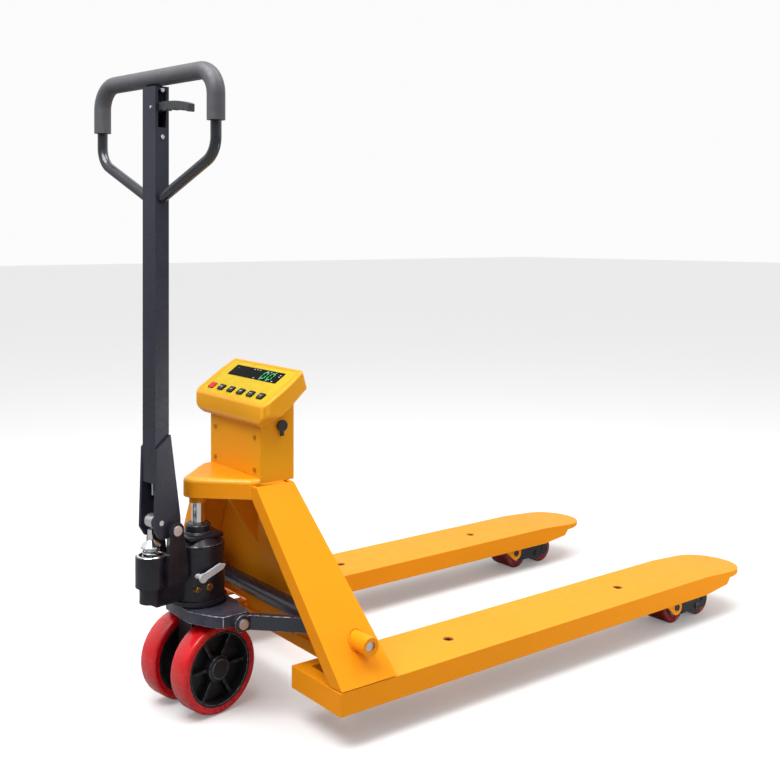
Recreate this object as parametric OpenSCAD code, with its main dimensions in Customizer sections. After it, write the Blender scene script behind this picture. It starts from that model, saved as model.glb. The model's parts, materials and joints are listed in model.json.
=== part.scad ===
// Hand pallet truck with a built-in weighing scale.
// The truck points along +X: steering wheels and handle at the back, fork tips at the front.
// +Y is the operator's left, +Z is up, and the floor is at Z = 0. Sizes are in millimetres.
// Lengths along X are counted from the steering axis and shifted to the middle of the truck last.

/* [Forks] */
// Length of the forks from the heel to the tip
fork_length = 1225; // [1025:5:1525]
// Width over both forks
fork_span = 685; // [600:5:740]
// Width of one fork
fork_width = 160; // [150:1:180]
// Height of the fork tops, lowered
fork_top = 107; // [105:1:130]
// Height of the side skirts of the weigh platforms
skirt_height = 42; // [36:1:50]
// Sheet thickness of the weigh platforms
platform_sheet = 3.5; // [3:0.5:4]
// Distance from the steering axis to the fork heels
heel_x = 100; // [90:1:130]

/* [Load cells] */
// Distance from the fork heel to the back load cell, right fork
cell_back_right = 317; // [280:1:380]
// Distance from the fork heel to the back load cell, left fork
cell_back_left = 422; // [300:1:450]
// Distance from the fork tip to the front load cell, right fork
cell_front_right = 399; // [395:1:470]
// Distance from the fork tip to the front load cell, left fork
cell_front_left = 379; // [375:1:470]
// Length of a load cell
cell_length = 110; // [90:1:120]
// Width of a load cell
cell_width = 30; // [25:1:35]
// Diameter of the access holes over the load cells
cell_hole_d = 22; // [18:1:26]

/* [A-frame] */
// Thickness of the A-frame side plates
side_plate = 6; // [4:0.5:8]
// Height of the A-frame's top above the floor
frame_top = 431; // [425:1:440]
// Half width of the A-frame at its top
frame_top_half = 120; // [112:1:130]
// Width of the flange along the back edge of a side plate
flange_width = 30; // [20:1:36]
// Thickness of the transverse back plate
back_plate = 6; // [4:0.5:8]
// Radius of the gooseneck's nose
nose_radius = 28; // [26:0.5:34]
// Height of the gooseneck's underside
gooseneck_low = 405; // [402:1:410]
// Height of the gooseneck's top
gooseneck_high = 443; // [438:1:448]

/* [Lift linkage] */
// Lift of the forks
lift = 60; // [40:1:62]
// Distance from the steering axis to the rocker shaft
rocker_x = 168; // [160:1:176]
// Height of the rocker shaft
rocker_z = 172; // [168:1:178]
// Distance from the steering axis to the thrust plate's pins
plate_pin_x = 27; // [22:1:32]
// Height of the thrust plate's pins
plate_pin_z = 184; // [182:1:188]
// Diameter of the rocker shaft's ends
shaft_d = 20; // [16:1:24]
// Outer diameter of the bosses on the side plates
boss_d = 34; // [32:1:40]
// Distance from the fork tip back to the lug pins
lug_setback = 280; // [270:1:300]
// Height of the lug pins
lug_z = 56; // [54:1:58]
// Length of a wheel lever along the truck, from its lug pin to the bogie pin
lever_reach = 86; // [80:1:95]
// Radius of a wheel lever's push arm
push_arm = 38; // [34:1:39]

/* [Wheels] */
// Diameter of the steering wheels
steer_d = 170; // [160:1:176]
// Width of a steering wheel
steer_w = 48; // [40:1:52]
// Gap between the two steering wheels
steer_gap = 50; // [46:1:60]
// Thickness of the polyurethane tyres
tyre_t = 14; // [10:0.5:18]
// Diameter of the steering axle
axle_d = 25; // [20:1:28]
// Diameter of the load rollers
roller_d = 74; // [70:1:76]
// Width of the load rollers
roller_w = 70; // [60:1:74]
// Distance between the two load rollers of a bogie
roller_pitch = 94; // [90:1:100]

/* [Pump] */
// Turn of the steering in the modelled pose, positive to the left
steer_pose = 9; // [0:1:15]
// Diameter of the pump tank
tank_d = 103; // [96:1:108]
// Height of the top of the pump tank
tank_top = 312; // [305:1:318]
// Diameter of the lifting piston
piston_d = 26; // [24:1:32]
// Distance from the steering axis back to the pump plunger
plunger_x = 108; // [106:1:114]
// Diameter of the pump plunger
plunger_d = 16; // [12:1:18]
// Diameter of the plunger's spring cap
cap_d = 38; // [34:1:40]
// Height of the thrust plate's underside
plate_low = 178; // [176:1:180]
// Thickness of the thrust plate
plate_t = 22; // [18:1:24]

/* [Handle] */
// Height of the handle's top bar
grip_z = 1206; // [1100:1:1300]
// Half width of the handle loop
loop_half = 185; // [160:1:210]
// Width of the handle tube, side to side
tube_w = 42; // [36:1:42]
// Depth of the handle tube, front to back
tube_d = 30; // [26:1:34]
// Wall of the handle tube
tube_wall = 3; // [2:0.5:4]
// Distance from the steering axis back to the handle tube's middle
tube_x = 97; // [95:1:100]
// Diameter of the steel loop
loop_d = 20; // [18:1:24]
// Diameter of the rubber grip
grip_d = 33; // [28:1:38]
// Tilt of the handle to its lowest position, in degrees
handle_tilt = 68; // [50:1:68]

/* [Indicator] */
// Distance from the steering axis to the column's back
column_x = 81; // [78:1:90]
// Depth of the column
column_depth = 76; // [70:1:90]
// Half width of the column
column_half = 100; // [90:1:110]
// Sheet thickness of the column
column_sheet = 2; // [1.5:0.5:3]
// Half width of the indicator's back
head_half = 142; // [135:1:160]
// Wall of the indicator's housing
head_wall = 3; // [2.5:0.5:4]
// Width of a key along the panel's width
key_w = 20; // [16:1:28]
// Depth of a key
key_d = 15; // [12:1:20]
// Distance between keys
key_pitch = 39; // [36:1:40]
// Height of a key above the panel
key_h = 2.6; // [2:0.1:4]
// Travel of a key
key_travel = 1; // [0.5:0.1:1.2]

/* [Fits] */
// Radial clearance of a running fit
running = 0.05; // [0.03:0.01:0.08]
// Side clearance between moving plates
side_gap = 1; // [0.5:0.1:2]

/* [Hidden] */
$fn = 64;
eps = 0.01;

// Colours of the finishes
paint_orange = "#f2a01e";
paint_grey = "#2f323c";
cast_black = "#26272a";
red_tyre = "#b3121f";
bright = "#c9ccd0";
rubber_black = "#1b1c1e";
board_green = "#1f6b3a";

// Places along the truck, from the steering axis
fork_tip = heel_x + fork_length;
fork_mid = (fork_span - fork_width) / 2;
fork_half = fork_width / 2;
lug_x = fork_tip - lug_setback;
bogie_x = lug_x + lever_reach;
roller_z = roller_d / 2;
bogie_z = roller_z + 2;
cells_right = [heel_x + cell_back_right, fork_tip - cell_front_right];
cells_left = [heel_x + cell_back_left, fork_tip - cell_front_left];
// The screws' heads sit in the cells' cups, below the platform's top
bolt_seat = fork_top - 9.5;

// The rearmost point is on the plunger's lobe or on the grip's left shoulder
lobe_d = 57;
rear_reach = max(plunger_x * cos(steer_pose) + lobe_d / 2,
                 tube_x * cos(steer_pose) + loop_half * sin(steer_pose) + grip_d / 2);
centre_x = (fork_tip - rear_reach) / 2;

// Layers across one fork, from its middle outwards
rail_t = 6;
rail_out = fork_half - platform_sheet - 2.5;
rail_in = rail_out - rail_t;
lever_t = 6;
lever_out = rail_in - 4;
lever_in = lever_out - lever_t;
bogie_t = 6;
bogie_in = roller_w / 2 + 5;
bogie_out = bogie_in + bogie_t;
rod_y = cell_width / 2 + 23;

// Angles of the lift linkage between the lowered and the raised position
rocker_arm = norm([rocker_x - plate_pin_x, plate_pin_z - rocker_z]);
rocker_low = asin((plate_pin_z - rocker_z) / rocker_arm);
rocker_turn = rocker_low + asin((lift - plate_pin_z + rocker_z) / rocker_arm);
wheel_arm = norm([lever_reach, lug_z - bogie_z]);
lever_low = asin((lug_z - bogie_z) / wheel_arm);
lever_turn = asin((lug_z - bogie_z + lift) / wheel_arm) - lever_low;
rod_travel = 2 * push_arm * sin(lever_turn / 2);
drop_arm = rod_travel / (2 * sin(rocker_turn / 2));
rod_pin_d = 10;
crank_run = 40;

// Rod pins in the lowered position: the pushing arms lean back by half their turn
rod_back = [rocker_x - drop_arm * sin(rocker_turn / 2), rocker_z - drop_arm * cos(rocker_turn / 2)];
rod_front = [lug_x - push_arm * sin(lever_turn / 2), lug_z + push_arm * cos(lever_turn / 2)];
rod_back_rise = drop_arm * (1 - cos(rocker_turn / 2));
rod_front_rise = push_arm * (1 - cos(lever_turn / 2));
// How far the thrust plate's pins move forward as the rockers turn
pin_shift = rocker_arm * (cos(rocker_low) - cos(rocker_turn - rocker_low));

// The A-frame's side plates lean inwards
platform_gap = 1.5;
frame_low = fork_top + platform_gap;
frame_height = frame_top - frame_low;
frame_out = fork_span / 2;
frame_lean = atan((frame_out - frame_top_half) / frame_height);
plate_slope = frame_height / cos(frame_lean);
plate_low_x = [heel_x + 3, heel_x + 125];
joggle = 0.8;
joggle_x = plate_low_x[1] + 6;
plate_high_x = [column_x - 20, column_x + 64];
function frame_half(z) = frame_out - (z - frame_low) * tan(frame_lean);
boss_end = frame_out - 2.5;
// The transverse plate leans back as it rises
back_low_z = fork_top - skirt_height;
back_low_x = heel_x + 119;
back_high_x = column_x + 58;
function back_x(z) = back_low_x - (z - back_low_z) * (back_low_x - back_high_x) / (frame_top - back_low_z);

// Thrust plate and pump heights
plate_top = plate_low + plate_t;
bearing_t = 4;
pump_low = plate_top + bearing_t + 0.2;
neck_d = 46;
head_top = tank_top + 40;
lobe_low = 223;
lobe_mid = 253;
lobe_top = tank_top - 2;

// Handle pivot, cam roller and plunger
pivot_x = 76;
pivot_z = 357;
cam_arm = [26, 17];
cam_r = 13;
cam_turn = norm(cam_arm);
cam_high = atan(cam_arm[1] / cam_arm[0]);
plunger_travel = cam_arm[1] - cam_turn * sin(cam_high - handle_tilt);
plunger_top = pivot_z + cam_arm[1] - cam_r - 1.2;
cap_low = plunger_top - 34;
cap_t = 14;
pocket_floor = cap_low - plunger_travel - 9;
spring_rings = 4;
spring_wire = 3.4;
ear_in = tube_w / 2 + 6 + side_gap;
ear_t = 10;
tube_low = 447;
tube_high = grip_z - grip_d / 2 - 0.5;
bracket_t = 6;
lever_pivot_z = grip_z - 56;
lever_pivot_y = 6;
rod_arm = 15;
rod_gap = 2;

// Indicator head: points of its side profile, from the steering axis
panel_back = [column_x - 15, 588];
panel_front = [column_x + 75, 648];
panel_angle = atan2(panel_front[1] - panel_back[1], panel_front[0] - panel_back[0]);
panel_len = norm(panel_front - panel_back);
panel_t = 2;
panel_half = head_half - 13;
key_u = 22;
window_u = [61, 92];
window_half = 95;
window_mid = (window_u[0] + window_u[1]) / 2;
// The indicator's underside runs up from its back to its front
under_back = [panel_back[0] + 8, 543];
under_front = [panel_front[0] + 12, 612];
function head_under(x) = under_back[1]
  + (x - under_back[0]) * (under_front[1] - under_back[1]) / (under_front[0] - under_back[0]);
corner_cut = [28, 24];

// Column
column_foot = frame_top + 1.5;
column_inner = column_half - column_sheet;
column_fit = 0.5;

// ---------------------------------------------------------------- shared shapes

// A cylinder along Y, from y = a to y = b
module rod_along_y(d, a, b) {
  translate([0, a, 0]) rotate([-90, 0, 0]) cylinder(d = d, h = b - a);
}

// A flat shape drawn in X and Z, reaching from y = a to y = b
module plate_xz(a, b) {
  translate([0, b, 0]) rotate([90, 0, 0]) linear_extrude(b - a) children();
}

// A slot for a pin: two round ends joined by a straight part
module slot_2d(d, from, to) {
  run = to - from;
  translate(from) circle(d = d);
  translate(to) circle(d = d);
  translate(from) rotate(atan2(run[1], run[0])) translate([0, -d / 2]) square([norm(run), d]);
}

// Both sides of the truck
module both_sides() {
  children();
  mirror([0, 1, 0]) children();
}

// Moves a right-hand piece to the asked side: -1 is right, 1 is left
module on_side(side) {
  if (side < 0) children();
  else mirror([0, 1, 0]) children();
}

// Everything that turns with the steering
module steered() {
  rotate([0, 0, steer_pose]) children();
}

// A screw with a round head and a hexagon socket, its head's underside on z = 0
module socket_screw(head, length, shank) {
  difference() {
    union() {
      cylinder(d = head, h = head * 0.4);
      translate([0, 0, -length]) cylinder(d = shank, h = length + eps);
    }
    translate([0, 0, head * 0.15]) cylinder(d = head * 0.5, h = head, $fn = 6);
  }
}

// Top view of a fork that is narrower on each side by inset
module fork_plan(inset) {
  half = fork_half - inset;
  translate([heel_x + inset, -half]) square([fork_length - fork_half - inset, half * 2]);
  translate([fork_tip - fork_half, 0]) circle(r = half);
}

// Side view of a fork: the tip slopes down and its underside is cut back
module fork_side(drop, inset) {
  slope_x = fork_tip - 175;
  low = fork_top - skirt_height;
  polygon([
    [heel_x - 1, low - (drop > 0 ? 20 : 0)], [slope_x, low - (drop > 0 ? 20 : 0)],
    [fork_tip - 97 - inset, low + 9 - drop * 4], [fork_tip - 85 - inset, low + 23],
    [fork_tip + 1, fork_top - 15 - drop], [fork_tip + 1, fork_top - 10 - drop],
    [slope_x, fork_top - drop], [heel_x - 1, fork_top - drop]
  ]);
}

// ---------------------------------------------------------------- weigh platforms and inner forks

// Weigh platform of the right fork: a folded cover that rests on two load cells.
// Its top is a little lower under the A-frame, so that the two never touch.
module platform(cells) {
  color(paint_orange) translate([0, -fork_mid, 0]) difference() {
    intersection() {
      linear_extrude(fork_top + 1) fork_plan(0);
      plate_xz(-fork_half - 1, fork_half + 1) fork_side(0, 0);
    }
    intersection() {
      translate([0, 0, -1]) linear_extrude(fork_top + 1) fork_plan(platform_sheet);
      plate_xz(-fork_half - 1, fork_half + 1) fork_side(platform_sheet, platform_sheet);
    }
    for (x = cells) translate([x, 0, fork_top - 10]) cylinder(d = cell_hole_d, h = 20);
    translate([heel_x - 1, -fork_half - 1, fork_top - joggle]) cube([joggle_x - heel_x + 1, fork_width + 2, 5]);
    // Way through for the rocker's drop arm
    translate([rocker_x - 40, rod_y - 22, fork_top - 10]) cube([86, 40, 20]);
    // Way through for the chassis cross bar
    translate([back_low_x - 22, fork_half - 10, 0]) cube([30, 20, fork_top - 5]);
  }
}

// Right inner fork: two rails, load cell pads and the lugs of the wheel lever
module inner_fork(cells) {
  rail_low = fork_top - skirt_height + 5;
  rail_high = fork_top - platform_sheet - 5;
  pad_t = 8;
  color(paint_orange) translate([0, -fork_mid, 0]) difference() {
    union() {
      for (s = [-1, 1]) {
        plate_xz(s > 0 ? rail_in : -rail_out, s > 0 ? rail_out : -rail_in) {
          translate([heel_x + 8, rail_low]) square([lug_x - heel_x, rail_high - rail_low]);
          polygon([[lug_x - 42, rail_low + 1], [lug_x - 16, lug_z - 10], [lug_x + 16, lug_z - 8],
                   [lug_x + 18, rail_low + 12], [lug_x - 42, rail_low + 12]]);
          translate([lug_x, lug_z]) circle(r = 18);
        }
      }
      for (x = cells) translate([x - cell_length / 2, -rail_in - 1, rail_low])
        cube([cell_length, rail_in * 2 + 2, pad_t]);
      translate([heel_x + 60, -rail_in - 1, rail_low]) cube([40, rail_in * 2 + 2, 6]);
    }
    translate([lug_x, 0, lug_z]) rod_along_y(16 + 2 * running, -fork_half, fork_half);
    for (x = cells) translate([x - cell_length / 2 + 14, 0, 0]) cylinder(d = 8.4, h = fork_top);
  }
}

// One shear-beam load cell, bolted at its back end, with a button under the platform
module load_cell() {
  low = fork_top - skirt_height + 13;
  high = fork_top - platform_sheet - 6;
  difference() {
    union() {
      translate([-cell_length / 2, -cell_width / 2, low]) cube([cell_length * 0.5, cell_width, high - low]);
      translate([-eps, -cell_width / 2, low + 2]) cube([cell_length * 0.5, cell_width, high - low - 2]);
      translate([0, 0, low + 4]) cylinder(d = cell_hole_d + 10, h = fork_top - platform_sheet - low - 4);
    }
    translate([0, 0, bolt_seat]) cylinder(d = cell_hole_d - 2.5, h = 40);
    translate([0, 0, low]) cylinder(d = 10, h = fork_top);
    translate([-cell_length / 2 + 14, 0, 0]) cylinder(d = 8.4, h = fork_top);
    translate([cell_length * 0.3, 0, (low + high) / 2 + 1]) rod_along_y(10, -cell_width, cell_width);
  }
}

// All four load cells
module load_cells() {
  color(bright) {
    for (x = cells_right) translate([x, -fork_mid, 0]) load_cell();
    for (x = cells_left) translate([x, fork_mid, 0]) load_cell();
  }
}

// Screws in the load cells' cups, seen through the access holes
module cell_bolts() {
  head = cell_hole_d - 4;
  color(cast_black) {
    for (x = cells_right) translate([x, -fork_mid, bolt_seat]) socket_screw(head, 14, 9.9);
    for (x = cells_left) translate([x, fork_mid, bolt_seat]) socket_screw(head, 14, 9.9);
  }
}

// ---------------------------------------------------------------- A-frame and gooseneck

// Outline of a side plate in its own plane
module side_plate_2d() {
  polygon([[plate_low_x[0], 0], [plate_low_x[1], 0],
           [plate_high_x[1], plate_slope], [plate_high_x[1], plate_slope + flange_width],
           [plate_high_x[0], plate_slope + flange_width], [plate_high_x[0], plate_slope]]);
}

// Strip along the back edge of a side plate
module side_flange_2d() {
  polygon([[plate_low_x[0], 0], [plate_low_x[0] + side_plate, 0],
           [plate_high_x[0] + side_plate, plate_slope],
           [plate_high_x[0] + side_plate, plate_slope + flange_width],
           [plate_high_x[0], plate_slope + flange_width], [plate_high_x[0], plate_slope]]);
}

// Right side plate with its flange and the boss of the rocker shaft
module frame_side() {
  plate_y = -frame_half(rocker_z);
  difference() {
    union() {
      intersection() {
        translate([0, -frame_out, frame_low]) rotate([-frame_lean, 0, 0]) {
          plate_xz(0, side_plate) side_plate_2d();
          plate_xz(0, flange_width) side_flange_2d();
        }
        translate([0, -frame_out - 1, frame_low]) cube([heel_x * 3, frame_out, frame_height]);
      }
      translate([rocker_x, 0, rocker_z]) rod_along_y(boss_d, -boss_end, plate_y + 16);
    }
    translate([rocker_x, 0, rocker_z]) rod_along_y(shaft_d + 2 * running, -boss_end - 1, plate_y + 40);
  }
}

// Transverse plate: fills the A between the side plates and hangs between the forks
module transverse_plate() {
  span_low = fork_mid - fork_half - 4;
  height = norm([back_low_x - back_high_x, frame_top - back_low_z]);
  lean = atan((back_low_x - back_high_x) / (frame_top - back_low_z));
  step = (frame_low + 2 - back_low_z) / cos(lean);
  // Half width where the side plate's inner face crosses this plate
  low_half = frame_half(frame_low + 2) - side_plate / 2;
  high_half = frame_top_half - side_plate / 2;
  translate([back_low_x, 0, back_low_z]) rotate([0, -lean, 0]) rotate([90, 0, 90])
    linear_extrude(back_plate) polygon([
      [-span_low, 0], [span_low, 0], [span_low, step], [low_half, step],
      [high_half, height], [-high_half, height], [-low_half, step], [-span_low, step]
    ]);
}

// Welded A-frame of the chassis, with the cross bar that carries the inner forks
module a_frame() {
  bar_low = fork_top - skirt_height + 5;
  bar_x = back_x(fork_top - 25) - 6;
  color(paint_orange) difference() {
    union() {
      both_sides() frame_side();
      transverse_plate();
      translate([bar_x, rail_out - fork_mid, bar_low]) cube([14, 2 * (fork_mid - rail_out), 24]);
    }
    translate([0, 0, gooseneck_low]) linear_extrude(50) gooseneck_plan();
  }
}

// Point where the line from p touches the nose circle on its left side
function nose_touch(p) =
  let (d = norm(p), a = atan2(p[1], p[0]) + acos(nose_radius / d)) nose_radius * [cos(a), sin(a)];

// Top view of the gooseneck: a round nose that widens to the A-frame's top
gooseneck_end = back_x(gooseneck_high) - 2;
module gooseneck_plan() {
  wide = [column_x - 21, column_half];
  touch = nose_touch(wide);
  half_end = frame_top_half - 12;
  circle(r = nose_radius);
  polygon([touch, wide, [gooseneck_end, half_end], [gooseneck_end, -half_end],
           [wide[0], -wide[1]], [touch[0], -touch[1]]]);
}

// Arm that reaches back over the pump and takes the piston's thrust
module gooseneck() {
  end_x = gooseneck_end;
  collar_d = piston_d + 8;
  color(paint_orange) difference() {
    union() {
      translate([0, 0, gooseneck_low]) linear_extrude(gooseneck_high - gooseneck_low) gooseneck_plan();
      translate([0, 0, gooseneck_low - 13]) cylinder(d = collar_d, h = 20);
      // Gusset under the arm
      plate_xz(-3, 3) polygon([[nose_radius - 10, gooseneck_low + 5], [end_x, gooseneck_low + 5],
                               [end_x, gooseneck_low - 120], [nose_radius + 30, gooseneck_low - 8]]);
    }
    translate([0, 0, gooseneck_low - 20]) cylinder(d = piston_d + 2 * running, h = 40);
    // Steps that the column's sides stand over
    both_sides() translate([column_x - column_fit, column_inner - column_fit, frame_top]) cube(100);
  }
}

// Chrome lifting piston: it stays with the forks and slides in the pump
module piston_rod() {
  foot = 216;
  color(bright) {
    translate([0, 0, foot]) cylinder(d = piston_d, h = gooseneck_low + 20 - foot);
    translate([0, 0, foot]) cylinder(d = piston_d + 8, h = 12);
  }
}

// ---------------------------------------------------------------- column and indicator

// Folded column: two sides and a front, open at the back, with a floor that sits on the gooseneck.
// Its top is cut to the slope of the indicator's underside.
module column() {
  front_x = column_x + column_depth;
  color(paint_orange) difference() {
    plate_xz(-column_half, column_half) polygon([
      [column_x, column_foot], [front_x, column_foot], [front_x, head_under(front_x)],
      [column_x, head_under(column_x)]
    ]);
    translate([column_x - 1, -column_inner, gooseneck_high + column_sheet])
      cube([column_depth + 1 - column_sheet, 2 * column_inner, 300]);
    translate([column_x - 1, -column_inner, column_foot - 1])
      cube([column_depth + 1 - column_sheet, 2 * column_inner, gooseneck_high - column_foot + 1]);
    translate(port_pos) rod_along_y(16, -1, 20);
  }
}

// Screw places on the column's back cover
cover_low = gooseneck_high + column_sheet + column_fit;
cover_high = head_under(column_x) - 2;
screw_spots = [for (y = [-1, 1], z = [cover_low + 11, cover_high - 27]) [y * (column_half - 21), z]];

// Removable cover at the column's back
module column_cover() {
  inner = column_inner - column_fit;
  color(paint_orange) difference() {
    translate([column_x, -inner, cover_low]) cube([column_sheet, inner * 2, cover_high - cover_low]);
    for (p = screw_spots) translate([column_x - 5, p[0], p[1]]) rotate([0, 90, 0]) cylinder(d = 5, h = 10);
  }
}

// The four screws of the back cover
module cover_screws() {
  color(bright) for (p = screw_spots)
    translate([column_x, p[0], p[1]]) rotate([0, -90, 0]) {
      cylinder(d = 9, h = 2.4);
      translate([0, 0, -8]) cylinder(d = 4.9, h = 8 + eps);
    }
}

// Side profile of the indicator, drawn smaller by inset
module head_profile(inset) {
  t = inset;
  polygon([
    [panel_back[0] + t * 1.6, panel_back[1] - t * 0.2],
    [panel_front[0] - t * 0.4, panel_front[1] - t * 1.3],
    [under_front[0] - t * 1.25, under_front[1] + t * 0.3],
    [under_back[0] + t * 0.2, under_back[1] + t * 1.2],
    [panel_back[0] - 2 + t, under_back[1] + 10 + t * 0.5],
    [panel_back[0] - 2 + t, panel_back[1] - 6]
  ]);
}

// Front view of the indicator, drawn smaller by inset: its lower corners are cut away
module head_front(inset) {
  slant = norm(corner_cut);
  half = head_half - inset;
  low = under_back[1] + inset;
  foot_y = head_half - corner_cut[0] - inset * (slant - corner_cut[0]) / corner_cut[1];
  side_z = under_back[1] + corner_cut[1] + inset * (slant - corner_cut[1]) / corner_cut[0];
  polygon([[-half, side_z], [-foot_y, low], [foot_y, low], [half, side_z], [half, low + 200],
           [-half, low + 200]]);
}

// Top view of the indicator, drawn smaller by inset: cut near corners, narrower towards the front
module head_plan(inset) {
  half = head_half - inset;
  near = panel_back[0] - 2 + inset;
  far = under_front[0] - inset;
  polygon([[near, half - 9], [near + 9, half], [far - 45, half], [far, half - 9],
           [far, 9 - half], [far - 45, -half], [near + 9, -half], [near, 9 - half]]);
}

// Outer shape of the indicator's housing, smaller by inset
module head_shape(inset) {
  intersection() {
    plate_xz(-head_half, head_half) head_profile(inset);
    rotate([90, 0, 90]) linear_extrude(300) head_front(inset);
    translate([0, 0, under_back[1] - 1]) linear_extrude(200) head_plan(inset);
  }
}

// Places a piece on the indicator's panel: x runs up the slope, z stands off it
module on_panel() {
  translate([panel_back[0], 0, panel_back[1]]) rotate([0, -panel_angle, 0]) children();
}

// Rounded rectangle with exact arcs
module round_rect(size, r) {
  translate([-size[0] / 2 + r, -size[1] / 2]) square([size[0] - 2 * r, size[1]]);
  translate([-size[0] / 2, -size[1] / 2 + r]) square([size[0], size[1] - 2 * r]);
  for (x = [-1, 1], y = [-1, 1])
    translate([x * (size[0] / 2 - r), y * (size[1] / 2 - r)]) circle(r = r);
}

// Cast indicator housing: a hollow slanted slab with cut corners
module head_housing() {
  way = [column_x + 6, column_x + column_depth - 8];
  color(paint_orange) difference() {
    head_shape(0);
    head_shape(head_wall);
    // Way down into the column
    plate_xz(-column_half + 12, column_half - 12) polygon([
      [way[0], head_under(way[0]) - 3], [way[1], head_under(way[1]) - 3],
      [way[1], head_under(way[1]) + 8], [way[0], head_under(way[0]) + 8]
    ]);
    // Recess for the panel
    on_panel() translate([panel_len / 2, 0, -panel_t])
      linear_extrude(20) round_rect([panel_len - 12, 2 * panel_half - 12], 8);
    on_panel() translate([panel_len / 2, 0, -12])
      linear_extrude(20) round_rect([panel_len - 24, 2 * panel_half - 24], 4);
  }
}

// Panel overlay with its six key openings and the window opening
module head_panel() {
  color(paint_orange) difference() {
    on_panel() translate([panel_len / 2, 0, -panel_t + eps])
      linear_extrude(panel_t - 0.4) round_rect([panel_len - 12.6, 2 * panel_half - 12.6], 7.7);
    on_panel() translate([window_mid, 0, -9])
      linear_extrude(20) round_rect([window_u[1] - window_u[0], 2 * window_half], 3);
    for (i = [0 : 5]) key_place(i) translate([0, 0, -9])
      linear_extrude(20) round_rect([key_d + 1, key_w + 1], 2.5);
  }
}

// Tinted window over the display
module display_window() {
  color([0.02, 0.02, 0.02, 0.9]) on_panel() translate([window_mid, 0, -panel_t])
    linear_extrude(panel_t - 0.1) round_rect([window_u[1] - window_u[0] - 0.2, 2 * window_half - 0.2], 2.9);
}

// Circuit board behind the panel, with the digits' block
module display_board() {
  color(board_green) on_panel() {
    translate([panel_len / 2 - 40, -panel_half + 20, -14]) cube([80, 2 * panel_half - 40, 1.6]);
    translate([window_u[0] + 6, -window_half + 10, -12.4 - eps])
      cube([window_u[1] - window_u[0] - 12, 2 * window_half - 20, 8]);
  }
}

// Place of key i: the power key is at the operator's left
module key_place(i) {
  on_panel() translate([key_u, (2.5 - i) * key_pitch, 0]) children();
}

// Key i, which travels into the panel
module key(i, paint) {
  color(paint) key_place(i) translate([0, 0, -4]) {
    linear_extrude(4 + key_h) round_rect([key_d, key_w], 2);
    translate([0, 0, -3]) cylinder(d = 6, h = 3 + eps);
  }
}

// Rechargeable battery inside the column
module battery() {
  color(rubber_black) translate([column_x + 14, -35, gooseneck_high + column_sheet + 1])
    cube([column_depth - 24, 70, 72]);
}

// Charging socket in the column's right side
port_pos = [column_x + column_depth * 0.62, -column_half, head_under(column_x) - 8];
module charging_port() {
  color(cast_black) translate(port_pos) {
    rod_along_y(15.8, -1, 14);
    difference() {
      rod_along_y(20, -2.5, 0);
      rod_along_y(11, -3, -1.2);
    }
  }
}

// Rubber cap of the charging socket, hinged by its strap below
module port_cap() {
  color(rubber_black) translate(port_pos) {
    rod_along_y(22, -6, -2.8);
    translate([-3, -5, -18]) cube([6, 2, 10]);
    translate([0, -3.2, -18]) rotate([0, 90, 0]) translate([0, 0, -4]) cylinder(d = 4, h = 8);
  }
}

// ---------------------------------------------------------------- lift linkage

// Rocker arms on their cross tube, with the drop arms that push the rods
module rocker_arms() {
  arm_y = [side_arm_y() , fork_mid - 10];
  tube_end = frame_half(rocker_z) - 26;
  h = 15;
  color(paint_grey) difference() {
    union() {
      both_sides() {
        translate([0, 0, plate_pin_z - h]) linear_extrude(h * 2 - 2)
          polygon([[plate_pin_x, -arm_y[0]], [plate_pin_x, -arm_y[0] - 12],
                   [plate_pin_x + 16, -arm_y[0] - 12], [rocker_x, -arm_y[1] - 8],
                   [rocker_x, -arm_y[1] + 8], [plate_pin_x + 26, -arm_y[0]]]);
        translate([plate_pin_x, 0, plate_pin_z]) rod_along_y(32, -arm_y[0] - 12, -arm_y[0]);
        // Drop arm beside the push rod
        plate_xz(-fork_mid + rod_y - 17, -fork_mid + rod_y - 7) {
          slot_2d(22, [rocker_x, rocker_z], rod_back);
        }
        translate([rod_back[0], 0, rod_back[1]])
          rod_along_y(rod_pin_d, -fork_mid + rod_y - 8, -fork_mid + rod_y + 6);
      }
      translate([rocker_x, 0, rocker_z]) rod_along_y(shaft_d + 14, -tube_end, tube_end);
    }
    translate([rocker_x, 0, rocker_z]) rod_along_y(shaft_d, -tube_end - 1, tube_end + 1);
    both_sides() translate([plate_pin_x, 0, plate_pin_z]) rod_along_y(14, -arm_y[0] - 14, -arm_y[0] + 2);
  }
}
// Inner face of a rocker arm beside the thrust plate's ear
function side_arm_y() = 116;

// Rocker shaft through the bosses, and the two pins in the thrust plate's ears
module rocker_shaft() {
  color(bright) {
    translate([rocker_x, 0, rocker_z]) rod_along_y(shaft_d, -boss_end + 4, boss_end - 4);
    both_sides() translate([plate_pin_x, 0, plate_pin_z]) {
      rod_along_y(14, -side_arm_y() - 12, -side_arm_y() + 18);
      rod_along_y(19, -side_arm_y() - 18, -side_arm_y() - 12);
    }
  }
}

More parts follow.
